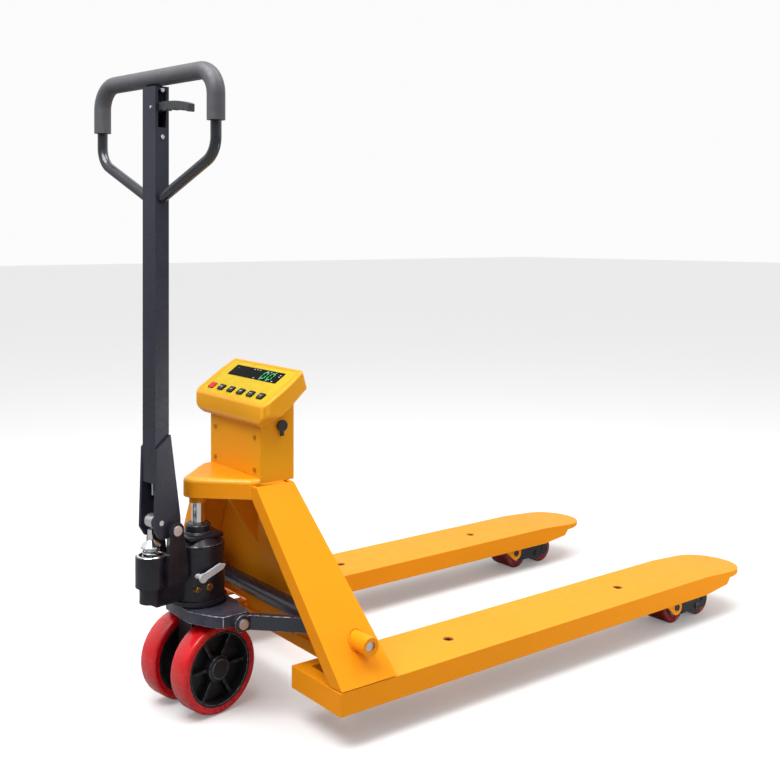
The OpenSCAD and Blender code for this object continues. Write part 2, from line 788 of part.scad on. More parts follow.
// Right push rod, with upright slots for its two pins. It runs low under the platform's sheet
// and cranks up to the rocker's pin inside the way through the platform.
module push_rod() {
  back = rod_back - [0, rod_back_rise / 2];
  front = rod_front + [0, rod_front_rise / 2];
  crank = [back[0] + crank_run, front[1]];
  rise = [rod_back_rise / 2 + 0.4, rod_front_rise / 2 + 0.4];
  hole = rod_pin_d + 1.2;
  eye = hole + 5;
  color(paint_grey) translate([0, -fork_mid + rod_y, 0]) difference() {
    union() {
      plate_xz(-4, 4) {
        slot_2d(8, back, crank);
        slot_2d(8, crank, front);
      }
      plate_xz(-5, 5) {
        slot_2d(eye, back - [0, rise[0]], back + [0, rise[0]]);
        slot_2d(eye, front - [0, rise[1]], front + [0, rise[1]]);
      }
    }
    plate_xz(-6, 6) {
      slot_2d(hole, back - [0, rise[0]], back + [0, rise[0]]);
      slot_2d(hole, front - [0, rise[1]], front + [0, rise[1]]);
    }
  }
}

// Right wheel lever: two cheeks on stub pins, a push pin across them and the bogie pin
module wheel_lever() {
  color(cast_black) translate([0, -fork_mid, 0]) {
    for (s = [-1, 1]) {
      plate_xz(s > 0 ? lever_in : -lever_out, s > 0 ? lever_out : -lever_in) {
        translate([lug_x, lug_z]) circle(r = 15);
        translate([bogie_x, bogie_z]) circle(r = 17);
        translate(rod_front) circle(r = 7.5);
        polygon([[lug_x - 13, lug_z - 6], [bogie_x - 4, bogie_z - 16], [bogie_x + 2, bogie_z + 16.5],
                 [lug_x + 8, lug_z + 24], [rod_front[0] + 5, rod_front[1] + 5],
                 [rod_front[0] - 6, rod_front[1] - 4]]);
      }
      // Stub pin in the lug
      translate([lug_x, 0, lug_z])
        rod_along_y(16, s > 0 ? lever_out - eps : -rail_out - 2, s > 0 ? rail_out + 2 : -lever_out + eps);
    }
    translate([rod_front[0], 0, rod_front[1]]) rod_along_y(rod_pin_d, -lever_in - eps, lever_in + eps);
    translate([bogie_x, 0, bogie_z]) rod_along_y(14, -lever_out - 3, lever_out + 3);
  }
}

// Right bogie: two cheeks on the bogie pin, with the axles of both rollers
module bogie() {
  r = roller_pitch / 2;
  color(cast_black) translate([0, -fork_mid, 0]) {
    for (s = [-1, 1]) difference() {
      plate_xz(s > 0 ? bogie_in : -bogie_out, s > 0 ? bogie_out : -bogie_in) {
        slot_2d(30, [bogie_x - r, roller_z], [bogie_x + r, roller_z]);
        translate([bogie_x, bogie_z]) circle(r = 16);
      }
      translate([bogie_x, 0, bogie_z]) rod_along_y(14 + 2 * running, -fork_half, fork_half);
    }
    for (x = [-r, r]) translate([bogie_x + x, 0, roller_z]) rod_along_y(16, -bogie_out - 2, bogie_out + 2);
  }
}

// One load roller at distance dx from the bogie pin
module roller(dx) {
  w = roller_w / 2;
  r = roller_d / 2;
  color(red_tyre) translate([bogie_x + dx, -fork_mid, roller_z]) rotate([90, 0, 0]) rotate_extrude()
    polygon([[8 + running, -w], [18, -w], [20, -w + 3], [r - 10, -w + 3], [r - 8, -w + 1], [r - 3, -w + 1],
             [r, -w + 4], [r, w - 4], [r - 3, w - 1], [r - 8, w - 1], [r - 10, w - 3], [20, w - 3],
             [18, w], [8 + running, w]]);
}

// ---------------------------------------------------------------- steering and pump

// Thrust plate: carries the pump on its bearing and takes the rocker pins in its ears
module thrust_plate() {
  ear = [side_arm_y() - 21, side_arm_y() - 1];
  color(paint_grey) difference() {
    union() {
      translate([0, 0, plate_low]) linear_extrude(plate_t) polygon([
        [-45, -48], [-20, -100], [-7, -ear[1]], [plate_pin_x + 22, -ear[1]], [plate_pin_x + 26, -70],
        [60, -50], [60, 50], [plate_pin_x + 26, 70], [plate_pin_x + 22, ear[1]], [-7, ear[1]],
        [-20, 100], [-45, 48]
      ]);
      both_sides() plate_xz(-ear[1], -ear[0]) slot_2d(28, [plate_pin_x, plate_pin_z],
                                                      [plate_pin_x + pin_shift, plate_pin_z]);
    }
    translate([0, 0, plate_low - 1]) cylinder(d = neck_d + 2 * running, h = plate_t + 2);
    both_sides() plate_xz(-ear[1] - 1, -ear[0] - 0.5)
      slot_2d(17, [plate_pin_x - 0.8, plate_pin_z], [plate_pin_x + pin_shift + 0.5, plate_pin_z]);
  }
}

// Ring that the pump turns on
module thrust_bearing() {
  color(bright) translate([0, 0, plate_top]) difference() {
    cylinder(d = 84, h = bearing_t);
    translate([0, 0, -1]) cylinder(d = neck_d + 1, h = bearing_t + 2);
  }
}

// Pump casting: tank, plunger lobe and the ears of the handle
module pump_body() {
  ear_out = ear_in + ear_t;
  color(cast_black) steered() difference() {
    union() {
      translate([0, 0, pump_low]) cylinder(d = tank_d + 8, h = 8);
      translate([0, 0, pump_low]) cylinder(d = tank_d, h = tank_top - pump_low);
      translate([-plunger_x, 0, lobe_mid]) cylinder(d = lobe_d, h = lobe_top - lobe_mid);
      translate([-plunger_x, 0, lobe_low]) cylinder(d = 42, h = lobe_top - lobe_low);
      translate([-plunger_x, -19, pump_low + 12]) cube([plunger_x - 20, 38, lobe_top - pump_low - 22]);
      translate([-94, -ear_out, lobe_mid + 5]) cube([44, ear_out * 2, 40]);
      for (s = [-1, 1]) plate_xz(s > 0 ? ear_in : -ear_out, s > 0 ? ear_out : -ear_in) {
        translate([-pivot_x, pivot_z]) circle(r = 16);
        polygon([[-94, lobe_mid + 30], [-50, lobe_mid + 30], [-pivot_x + 15.5, pivot_z - 4],
                 [-pivot_x - 15.5, pivot_z - 4]]);
      }
    }
    translate([0, 0, pump_low + 8]) cylinder(d = piston_d + 14, h = 200);
    translate([-plunger_x, 0, lobe_low + 4]) cylinder(d = plunger_d + 2 * running, h = 100);
    translate([-plunger_x, 0, pocket_floor]) cylinder(d = cap_d + 4, h = 100);
    translate([-pivot_x, 0, pivot_z]) rod_along_y(16, -60, 60);
    pump_screw_shapes(2 * running);
    // Seat of the release valve
    translate([-30, 0, 262]) rod_along_y(10, -60, -30);
  }
}

// Screwed-in pump head that guides the piston
module pump_head() {
  r = tank_d / 2;
  bore = piston_d / 2 + running;
  color(cast_black) steered() translate([0, 0, tank_top]) rotate_extrude() polygon([
    [bore, 0], [r - 1, 0], [r - 1, 4], [r * 0.52, 25], [24.5, 25], [24.5, 37], [21, 40], [bore, 40]
  ]);
}

// Yoke under the thrust plate: its neck carries the pump, its foot the wheel axle
module axle_yoke() {
  foot_w = steer_gap - 8;
  color(cast_black) steered() difference() {
    union() {
      translate([0, 0, plate_low - 12]) cylinder(d = neck_d, h = pump_low - plate_low + 12);
      translate([-30, -foot_w / 2, steer_d / 2]) cube([60, foot_w, plate_low - 8 - steer_d / 2]);
      translate([0, 0, steer_d / 2]) rod_along_y(60, -foot_w / 2, foot_w / 2);
    }
    translate([0, 0, steer_d / 2]) rod_along_y(axle_d, -60, 60);
  }
}

// Axle of the steering wheels
module wheel_axle() {
  half = steer_gap / 2 + steer_w - 6;
  color(bright) steered() translate([0, 0, steer_d / 2]) rod_along_y(axle_d, -half, half);
}

// Turns a wheel's profile: x is the radius, y runs outwards from the wheel's inner face
module wheel_turned(side) {
  steered() translate([0, side * steer_gap / 2, steer_d / 2]) rotate([side > 0 ? -90 : 90, 0, 0])
    rotate_extrude($fn = 96) children();
}

// Polyurethane tyre of a steering wheel
module steer_tyre(side) {
  r = steer_d / 2;
  ri = r - tyre_t;
  color(red_tyre) wheel_turned(side) polygon([
    [ri, 1], [r - 5, 1], [r - 1.5, 3], [r, 7], [r, steer_w - 7], [r - 1.5, steer_w - 3],
    [r - 5, steer_w - 1], [ri, steer_w - 1]
  ]);
}

// Cast hub of a steering wheel: rim, dished web with ribs, and a capped middle
module steer_hub(side) {
  ri = steer_d / 2 - tyre_t;
  bore = axle_d / 2 + running;
  color(cast_black) {
    wheel_turned(side) polygon([
      [bore, 0], [24, 0], [26, 10], [ri - 7, 10], [ri - 5, 2], [ri, 2], [ri, steer_w - 2],
      [ri - 5, steer_w - 2], [ri - 9, 22], [27, 22], [24, steer_w - 5], [18, steer_w - 1],
      [0, steer_w - 1], [0, steer_w - 5], [bore, steer_w - 5]
    ]);
    steered() translate([0, side * steer_gap / 2, steer_d / 2]) rotate([side > 0 ? -90 : 90, 0, 0])
      for (a = [0 : 60 : 300]) rotate([0, 0, a]) translate([23, -2.5, 20]) cube([ri - 28, 5, 16]);
  }
}

// Pivot pin of the handle
module handle_pin() {
  half = ear_in + ear_t;
  color(bright) steered() translate([-pivot_x, 0, pivot_z]) {
    rod_along_y(16, -half - 2, half + 3);
    rod_along_y(19, -half - 5, -half);
  }
}

// Hexagon bolt and brass screw low on the pump's right side; grow widens their seats
module pump_screw_shapes(grow) {
  translate([-12, 0, 240]) rod_along_y(14 + grow, -tank_d / 2 - 4, -tank_d / 2 + 6);
  translate([-34, 0, 238]) rod_along_y(12 + grow, -tank_d / 2 + 2, -tank_d / 2 + 16);
}
module pump_screws() {
  color("#b58a3c") steered() pump_screw_shapes(0);
}

// Pump plunger with its spring cap
module plunger() {
  color(bright) steered() translate([-plunger_x, 0, 0]) {
    translate([0, 0, pocket_floor - 20]) cylinder(d = plunger_d, h = cap_low - pocket_floor + 21);
    translate([0, 0, cap_low]) cylinder(d = cap_d, h = 3);
    translate([0, 0, cap_low + 3 - eps]) cylinder(d1 = cap_d, d2 = 16, h = cap_t - 3);
    translate([0, 0, cap_low + cap_t - 1]) cylinder(d = 12, h = plunger_top - cap_low - cap_t + 1);
  }
}

// Return spring of the plunger, as separate coils
module plunger_spring() {
  low = pocket_floor + spring_wire / 2 + 0.1;
  high = cap_low - spring_wire / 2 - 0.1;
  color(bright) steered() for (i = [0 : spring_rings - 1])
    translate([-plunger_x, 0, low + i * (high - low) / (spring_rings - 1)])
      rotate_extrude() translate([cap_d / 2 - 4, 0]) circle(d = spring_wire);
}

// Release lever on the pump's right side
module release_lever() {
  y = -tank_d / 2 - 5;
  color(bright) steered() {
    translate([-30, 0, 262]) rod_along_y(10 - 2 * running, y, -30);
    plate_xz(y - 4, y) {
      translate([-30, 262]) circle(r = 9);
      polygon([[-38, 264], [-22, 258], [16, 270], [22, 278], [8, 282], [-26, 271]]);
    }
  }
}

// ---------------------------------------------------------------- handle

// A round tube in the plane x = 0 through the points (y, z), with bends of radius r_bend
module bent_tube(points, d, r_bend) {
  n = len(points);
  function turn(i) = let (a = points[i] - points[i - 1], b = points[i + 1] - points[i])
    let (t = atan2(a[0] * b[1] - a[1] * b[0], a * b)) t;
  function trim(i) = (i == 0 || i == n - 1) ? 0 : r_bend * tan(abs(turn(i)) / 2);
  for (i = [0 : n - 2]) {
    run = points[i + 1] - points[i];
    length = norm(run) - trim(i) - trim(i + 1);
    translate([0, points[i][0], points[i][1]]) rotate([atan2(run[1], run[0]) - 90, 0, 0])
      translate([0, 0, trim(i)]) cylinder(d = d, h = length);
  }
  for (i = [1 : n - 2]) {
    a = points[i] - points[i - 1];
    t = turn(i);
    heading = atan2(a[1], a[0]);
    start = points[i] - a / norm(a) * trim(i);
    side = t > 0 ? 1 : -1;
    middle = start + side * r_bend * [-sin(heading), cos(heading)];
    translate([0, middle[0], middle[1]]) rotate([90, 0, 90])
      rotate([0, 0, heading - side * 90 - (side > 0 ? 0 : abs(t))])
        rotate_extrude(angle = abs(t)) translate([r_bend, 0]) circle(d = d);
  }
}

// Half of the loop's centre line, from the middle of the top bar down to the handle tube
loop_bend = 46;
function loop_points(side) = [
  [0, grip_z], [side * loop_half, grip_z], [side * loop_half, grip_z - 150],
  [side * (tube_w / 2 - 8), grip_z - 230]
];
function grip_points(side) = [[0, grip_z], [side * loop_half, grip_z], [side * loop_half, grip_z - 92]];

// Handle tube with the folded bracket plates at its foot
module handle_tube() {
  w = tube_w / 2;
  x = -tube_x;
  slot_low = lever_pivot_z - 38;
  color(paint_grey) steered() difference() {
    union() {
      translate([x - tube_d / 2, -w, tube_low]) cube([tube_d, tube_w, tube_high - tube_low]);
      for (s = [-1, 1]) plate_xz(s > 0 ? w - eps : -w - bracket_t, s > 0 ? w + bracket_t : -w + eps) {
        polygon([[x - tube_d / 2, 512], [x - tube_d / 2 - 5, 362], [-pivot_x - 30, 344],
                 [-pivot_x + 8, 341], [-pivot_x + 17, 350], [-pivot_x + 16, 380],
                 [x + tube_d / 2, 536]]);
      }
      // Closing plate in front, between the two side plates
      translate([-pivot_x - 2, -w - 1, 400]) rotate([0, -1, 0]) cube([5, tube_w + 2, 60]);
    }
    translate([x - tube_d / 2 + tube_wall, -w + tube_wall, tube_low - 1])
      cube([tube_d - 2 * tube_wall, tube_w - 2 * tube_wall, tube_high - tube_low + 2]);
    translate([-pivot_x, 0, pivot_z]) rod_along_y(16 + 2 * running, -60, 60);
    translate([-pivot_x - cam_arm[0], 0, pivot_z + cam_arm[1]]) rod_along_y(10, -60, 60);
    // Slot for the control lever
    translate([x - 9, -w - 10, slot_low]) cube([18, 20, 70]);
    // Seat of the control lever's pivot
    translate([x - 30, -lever_pivot_y, lever_pivot_z]) rotate([0, 90, 0]) cylinder(d = 6, h = 60);
  }
}

// Steel loop, both halves in one piece
module handle_loop() {
  color(cast_black) steered() translate([-tube_x, 0, 0]) difference() {
    for (s = [-1, 1]) bent_tube(loop_points(s), loop_d, loop_bend);
    translate([-50, -tube_w / 2, grip_z - 400]) cube([100, tube_w, 380]);
  }
}

// Rubber grip over the top and the shoulders of the loop
module handle_grip() {
  color(rubber_black) steered() translate([-tube_x, 0, 0]) difference() {
    for (s = [-1, 1]) bent_tube(grip_points(s), grip_d, loop_bend);
    for (s = [-1, 1]) bent_tube(loop_points(s), loop_d, loop_bend);
  }
}

// Pin of the cam roller
module roller_pin() {
  half = tube_w / 2 + bracket_t;
  color(bright) steered() translate([-pivot_x - cam_arm[0], 0, pivot_z + cam_arm[1]])
    rod_along_y(10, -half, half);
}

// Roller that presses the plunger down
module cam_roller() {
  color(bright) steered() translate([-pivot_x - cam_arm[0], 0, pivot_z + cam_arm[1]]) difference() {
    rod_along_y(cam_r * 2, -11, 11);
    rod_along_y(10 + 2 * running, -12, 12);
  }
}

// Screws in the handle tube's right face, and the lever's pivot pin
module handle_bolts() {
  color(bright) steered() {
    for (z = [grip_z - 24, grip_z - 112]) translate([-tube_x, -tube_w / 2, z]) rotate([90, 0, 0])
      cylinder(d = 8, h = 2.5);
    translate([-tube_x - tube_d / 2 - 1.5, -lever_pivot_y, lever_pivot_z]) rotate([0, 90, 0])
      cylinder(d = 6, h = tube_d + 3);
  }
}

// Control lever: raise, neutral and lower, worked from under the right half of the top bar
module control_lever() {
  reach = 92;
  edge = tube_w / 2;
  top = [for (t = [0 : 0.1 : 1]) [-edge - reach * t, lever_pivot_z + 9 - 10 * t * t * t]];
  under = [for (t = [1 : -0.05 : 0])
    [-edge - reach * t, lever_pivot_z - 7 - 8 * t * t * t + 1.6 * sin(t * 360 * 4)]];
  color(cast_black) steered() translate([-tube_x, 0, 0]) difference() {
    union() {
      translate([-7, 0, 0]) rotate([90, 0, 90]) linear_extrude(14)
        polygon(concat([[rod_arm - lever_pivot_y + 3, lever_pivot_z + 2], [-lever_pivot_y, lever_pivot_z + 9]],
                       top, under, [[-lever_pivot_y, lever_pivot_z - 9],
                                    [rod_arm - lever_pivot_y + 3, lever_pivot_z - 8]]));
      translate([-7, -lever_pivot_y, lever_pivot_z]) rotate([0, 90, 0]) cylinder(d = 18, h = 14);
    }
    translate([-10, -lever_pivot_y, lever_pivot_z]) rotate([0, 90, 0]) cylinder(d = 6 + 2 * running, h = 20);
  }
}

// Rod inside the handle tube that works the release valve
module release_rod() {
  foot = 420;
  color(bright) steered() translate([-tube_x, rod_arm - lever_pivot_y, foot])
    cylinder(d = 6, h = lever_pivot_z - 8 - rod_gap - foot);
}

// ---------------------------------------------------------------- assembly

// Shifts the truck so that its box is centred over the origin
module placed() {
  translate([-centre_x, 0, 0]) children();
}

placed() thrust_plate();
placed() thrust_bearing();
placed() pump_body();
placed() pump_head();
placed() axle_yoke();
placed() wheel_axle();
placed() handle_pin();
placed() pump_screws();
placed() plunger();
placed() plunger_spring();
placed() release_lever();
placed() steer_tyre(1);  // steer_tyre_left
placed() steer_hub(1);  // steer_hub_left
placed() steer_tyre(-1);  // steer_tyre_right
placed() steer_hub(-1);  // steer_hub_right
placed() handle_tube();
placed() handle_loop();
placed() handle_grip();
placed() roller_pin();
placed() handle_bolts();
placed() cam_roller();
placed() control_lever();
placed() release_rod();
placed() a_frame();
placed() gooseneck();
placed() piston_rod();
placed() on_side(1) inner_fork(cells_left);  // inner_fork_left
placed() on_side(-1) inner_fork(cells_right);  // inner_fork_right
placed() on_side(1) platform(cells_left);  // platform_left
placed() on_side(-1) platform(cells_right);  // platform_right
placed() load_cells();
placed() cell_bolts();
placed() column();
placed() column_cover();
placed() cover_screws();
placed() head_housing();
placed() head_panel();
placed() display_window();
placed() display_board();
placed() battery();
placed() charging_port();
placed() port_cap();
placed() key(0, "#c41f26");  // key_power
placed() key(1, rubber_black);  // key_two
placed() key(2, rubber_black);  // key_three
placed() key(3, rubber_black);  // key_four
placed() key(4, rubber_black);  // key_five
placed() key(5, rubber_black);  // key_six
placed() rocker_arms();
placed() rocker_shaft();
placed() on_side(1) push_rod();  // push_rod_left
placed() on_side(-1) push_rod();  // push_rod_right
placed() on_side(1) wheel_lever();  // wheel_lever_left
placed() on_side(-1) wheel_lever();  // wheel_lever_right
placed() on_side(1) bogie();  // bogie_left
placed() on_side(-1) bogie();  // bogie_right
placed() on_side(1) roller(-roller_pitch / 2);  // roller_back_left
placed() on_side(1) roller(roller_pitch / 2);  // roller_front_left
placed() on_side(-1) roller(-roller_pitch / 2);  // roller_back_right
placed() on_side(-1) roller(roller_pitch / 2);  // roller_front_right
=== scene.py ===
"""Finishes, small parts and stage of a hand pallet truck with a built-in weighing scale."""

import json
import math

import bmesh
import bpy
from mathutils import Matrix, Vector
from mathutils.bvhtree import BVHTree

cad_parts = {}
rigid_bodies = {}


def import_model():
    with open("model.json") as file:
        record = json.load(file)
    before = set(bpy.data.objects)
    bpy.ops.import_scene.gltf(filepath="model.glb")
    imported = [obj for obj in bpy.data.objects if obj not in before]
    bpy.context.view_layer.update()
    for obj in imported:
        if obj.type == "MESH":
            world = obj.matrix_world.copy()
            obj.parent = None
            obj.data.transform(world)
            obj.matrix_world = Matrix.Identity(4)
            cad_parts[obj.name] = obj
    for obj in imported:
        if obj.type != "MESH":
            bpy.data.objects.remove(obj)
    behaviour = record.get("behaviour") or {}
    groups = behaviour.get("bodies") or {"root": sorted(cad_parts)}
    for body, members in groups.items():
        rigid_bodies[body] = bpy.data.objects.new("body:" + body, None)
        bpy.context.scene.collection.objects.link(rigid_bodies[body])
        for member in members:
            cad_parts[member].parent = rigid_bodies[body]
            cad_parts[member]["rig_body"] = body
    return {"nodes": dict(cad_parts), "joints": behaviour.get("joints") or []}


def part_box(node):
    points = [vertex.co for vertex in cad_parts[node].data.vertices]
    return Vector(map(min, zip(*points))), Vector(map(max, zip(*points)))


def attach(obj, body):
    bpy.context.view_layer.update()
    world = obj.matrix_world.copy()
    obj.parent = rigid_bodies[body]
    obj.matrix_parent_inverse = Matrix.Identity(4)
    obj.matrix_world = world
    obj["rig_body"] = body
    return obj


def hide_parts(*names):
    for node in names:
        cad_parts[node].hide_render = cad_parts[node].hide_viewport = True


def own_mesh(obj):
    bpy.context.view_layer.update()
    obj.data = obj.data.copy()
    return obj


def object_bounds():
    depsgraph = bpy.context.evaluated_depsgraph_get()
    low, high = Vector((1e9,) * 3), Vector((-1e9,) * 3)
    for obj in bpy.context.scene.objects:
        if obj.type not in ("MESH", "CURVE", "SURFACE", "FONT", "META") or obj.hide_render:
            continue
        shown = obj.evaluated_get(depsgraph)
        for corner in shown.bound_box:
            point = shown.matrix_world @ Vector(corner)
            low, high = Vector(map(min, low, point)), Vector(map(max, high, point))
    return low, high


bl_info = {
    "name": "Pallet Scale Finish",
    "version": (1, 0, 0),
    "blender": (4, 5, 0),
    "location": "View3D > Sidebar > Pallet Scale",
    "description": "Finishes, small parts and stage of a hand pallet truck with a weighing scale",
    "category": "Object",
}

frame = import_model()
NODES = frame["nodes"]
CAD_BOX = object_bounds()
KEYS = ("power", "two", "three", "four", "five", "six")

# ------------------------------------------------------------------ user settings


def colour(name, description, value):
    """A colour property with its name, description and default."""
    return bpy.props.FloatVectorProperty(
        name=name, description=description, default=value, size=3, min=0.0, max=1.0, subtype="COLOR"
    )


def length(name, description, value, low=0.0, high=1.0):
    """A length property in metres."""
    return bpy.props.FloatProperty(
        name=name, description=description, default=value, min=low, max=high, precision=4,
        unit="LENGTH", subtype="DISTANCE",
    )


def number(name, description, value, low=0.0, high=1000.0, **kind):
    """A plain number property."""
    return bpy.props.FloatProperty(
        name=name, description=description, default=value, min=low, max=high, **kind)


def count(name, description, value, low=1, high=200):
    """A whole-number property."""
    return bpy.props.IntProperty(name=name, description=description, default=value, min=low, max=high)


class TruckPaint(bpy.types.PropertyGroup):
    """Colours of the paint, castings and plastics."""

    fork_paint: colour("Fork paint", "Enamel of the forks and the A-frame", (0.95, 0.325, 0.008))
    # Lighter enamel for the rounded edges of the forks and frame: a painted highlight
    edge_paint: colour("Edge paint", "Enamel where it thins over an edge", (1.0, 0.42, 0.016))
    column_paint: colour("Column paint", "Powder coat of the column", (0.85, 0.365, 0.009))
    head_paint: colour("Indicator paint", "Enamel of the indicator's housing", (0.80, 0.345, 0.011))
    panel_paint: colour("Panel overlay", "Printed overlay of the indicator", (0.56, 0.385, 0.013))
    pump_paint: colour("Pump paint", "Enamel of the pump casting", (0.012, 0.011, 0.017))
    steel_blue: colour("Linkage paint", "Enamel of the handle and the linkage", (0.024, 0.026, 0.040))
    lever_black: colour("Lever paint", "Enamel of the wheel levers and bogies", (0.012, 0.012, 0.014))
    tyre_red: colour("Tyre", "Cast polyurethane of the wheels", (0.72, 0.003, 0.008))
    roller_red: colour("Roller", "Cast polyurethane of the load rollers", (0.30, 0.004, 0.010))
    worn_edge: colour("Worn edge", "Bare metal on the edges of the linkage", (0.62, 0.63, 0.66))


class TruckEdges(bpy.types.PropertyGroup):
    """Radii of the edges."""

    sheet: length("Sheet edge", "Rounding of cut sheet edges", 0.0007, 0.0001, 0.003)
    fold: length("Fold", "Rounding of the folded top edge of a fork", 0.0034, 0.0005, 0.008)
    casting: length("Casting edge", "Rounding of cast edges", 0.0012, 0.0002, 0.004)
    housing: length("Housing edge", "Rounding of the indicator's housing", 0.0042, 0.0005, 0.008)
    nose: length("Nose edge", "Rounding of the gooseneck's top edge", 0.009, 0.0005, 0.012)


class TruckWelds(bpy.types.PropertyGroup):
    """Weld seams."""

    radius: length("Bead radius", "Half width of a weld seam", 0.0032, 0.001, 0.01)
    pitch: length("Ripple pitch", "Distance between the ripples of a seam", 0.0026, 0.001, 0.01)


class TruckSpring(bpy.types.PropertyGroup):
    """Return spring of the pump plunger."""

    wire: length("Wire", "Diameter of the spring wire", 0.0034, 0.001, 0.006)
    turns: number("Turns", "Turns of the spring", 5.5, 2.0, 12.0)


class TruckDisplay(bpy.types.PropertyGroup):
    """Digits and small lamps of the indicator."""

    lit: colour("Lit segment", "Light of a lit segment", (0.015, 0.42, 0.12))
    dark: colour("Dark segment", "Segment that is off", (0.005, 0.007, 0.006))
    digits: count("Digits", "Number of digits in the window", 5, 2, 8)
    digit_width: length("Digit width", "Width of a digit", 0.0135, 0.004, 0.03)
    digit_height: length("Digit height", "Height of a digit", 0.017, 0.004, 0.03)
    digit_pitch: length("Digit pitch", "Distance between digits", 0.025, 0.005, 0.05)
    stroke: length("Segment", "Width of a segment", 0.0021, 0.0005, 0.005)
    power: number("Brightness", "Strength of a lit segment", 0.8, 0.0, 20.0)


class TruckStage(bpy.types.PropertyGroup):
    """Floor, lights and camera."""

    floor: colour("Floor", "Colour of the floor", (0.80, 0.80, 0.80))
    bounce: number("Bounce", "Share of its light that the floor throws back", 0.4, 0.0, 1.0)
    camera: bpy.props.FloatVectorProperty(
        name="Camera", description="Place of the camera", default=(-1.5585, -1.8728, 0.9108),
        size=3, subtype="TRANSLATION", unit="LENGTH")
    heading: number("Heading", "Turn of the camera about the vertical", math.radians(-37.53),
                    -math.pi, math.pi, subtype="ANGLE")
    lens: number("Lens", "Focal length in millimetres", 49.12, 10.0, 200.0)
    shift: number("Shift", "Upward shift of the picture", -0.1986, -1.0, 1.0)
    key: number("Key light", "Power of the key light in watts", 43.0)
    fill: number("Fill light", "Power of the fill light in watts", 52.0)
    side: number("Side light", "Power of the low side light in watts", 4.6)
    sky: number("Sky", "Strength of the surrounding light", 0.9)


GROUPS = {
    "truck_paint": TruckPaint, "truck_edges": TruckEdges, "truck_welds": TruckWelds,
    "truck_spring": TruckSpring, "truck_display": TruckDisplay, "truck_stage": TruckStage,
}


def setting(group):
    """The scene's settings of one group."""
    return getattr(bpy.context.scene, group)


# ------------------------------------------------------------------ finishes


class Finish:
    """Builds one material from object-space patterns."""

    def __init__(self, name):
        self.material = bpy.data.materials.new(name)
        self.material.use_nodes = True
        self.nodes = self.material.node_tree.nodes
        self.links = self.material.node_tree.links
        self.shader = self.nodes["Principled BSDF"]
        self.place = self.nodes.new("ShaderNodeTexCoord").outputs["Object"]

    def set(self, **values):
        """Sets the shader's own sockets, named with underscores for spaces."""
        for key, value in values.items():
            socket = self.shader.inputs[key.replace("_", " ")]
            socket.default_value = (*value, 1.0) if isinstance(value, tuple) and len(value) == 3 else value
        return self

    def noise(self, scale, detail=3.0, roughness=0.55, stretch=(1, 1, 1)):
        """A noise pattern; stretch squeezes it along each axis."""
        mapping = self.nodes.new("ShaderNodeMapping")
        mapping.inputs["Scale"].default_value = stretch
        self.links.new(self.place, mapping.inputs["Vector"])
        noise = self.nodes.new("ShaderNodeTexNoise")
        noise.inputs["Scale"].default_value = scale
        noise.inputs["Detail"].default_value = detail
        noise.inputs["Roughness"].default_value = roughness
        self.links.new(mapping.outputs["Vector"], noise.inputs["Vector"])
        return noise.outputs["Fac"]

    def cells(self, scale, feature="F1"):
        """A cell pattern for pebbled or hammered surfaces."""
        cells = self.nodes.new("ShaderNodeTexVoronoi")
        cells.feature = feature
        cells.inputs["Scale"].default_value = scale
        self.links.new(self.place, cells.inputs["Vector"])
        return cells.outputs["Distance"]

    def spread(self, value, low, high, start=0.3, stop=0.7):
        """Maps a pattern from start..stop to low..high."""
        spread = self.nodes.new("ShaderNodeMapRange")
        for key, number in (("From Min", start), ("From Max", stop), ("To Min", low), ("To Max", high)):
            spread.inputs[key].default_value = number
        self.links.new(value, spread.inputs["Value"])
        return spread.outputs["Result"]

    def mix(self, factor, first, second):
        """Mixes two colours, or a colour over a linked colour."""
        mix = self.nodes.new("ShaderNodeMix")
        mix.data_type = "RGBA"
        self.links.new(factor, mix.inputs["Factor"])
        for socket, value in ((mix.inputs[6], first), (mix.inputs[7], second)):
            if isinstance(value, bpy.types.NodeSocket):
                self.links.new(value, socket)
            else:
                socket.default_value = (*value, 1.0)
        return mix.outputs[2]

    def paint(self, colour_from):
        """Links a colour pattern to the base colour."""
        self.links.new(colour_from, self.shader.inputs["Base Color"])
        return self

    def rough(self, value):
        """Links a roughness pattern."""
        self.links.new(value, self.shader.inputs["Roughness"])
        return self

    def bumps(self, *heights):
        """Stacks bump patterns given as (pattern, depth in metres, strength)."""
        normal = None
        for pattern, depth, strength in heights:
            bump = self.nodes.new("ShaderNodeBump")
            bump.inputs["Distance"].default_value = depth
            bump.inputs["Strength"].default_value = strength
            self.links.new(pattern, bump.inputs["Height"])
            if normal is not None:
                self.links.new(normal, bump.inputs["Normal"])
            normal = bump.outputs["Normal"]
        self.links.new(normal, self.shader.inputs["Normal"])
        return self


def shade(tone, factor):
    """A colour made lighter or darker."""
    return tuple(min(1.0, c * factor) for c in tone)


def enamel(name, tone, gloss=0.4, peel=0.5, coat=0.03, drift=0.05, shine=0.08):
    """Sprayed enamel: faint colour drift, orange peel and a clear gloss."""
    f = Finish(name)
    f.paint(f.mix(f.noise(5.0), shade(tone, 1 - drift), shade(tone, 1 + drift)))
    f.rough(f.spread(f.noise(60.0), gloss - 0.05, gloss + 0.08))
    f.bumps((f.noise(420.0, 2.0), 0.00006, peel), (f.noise(9.0, 1.0), 0.0006, 0.12))
    return f.set(Coat_Weight=coat, Coat_Roughness=0.12, Specular_IOR_Level=shine).material


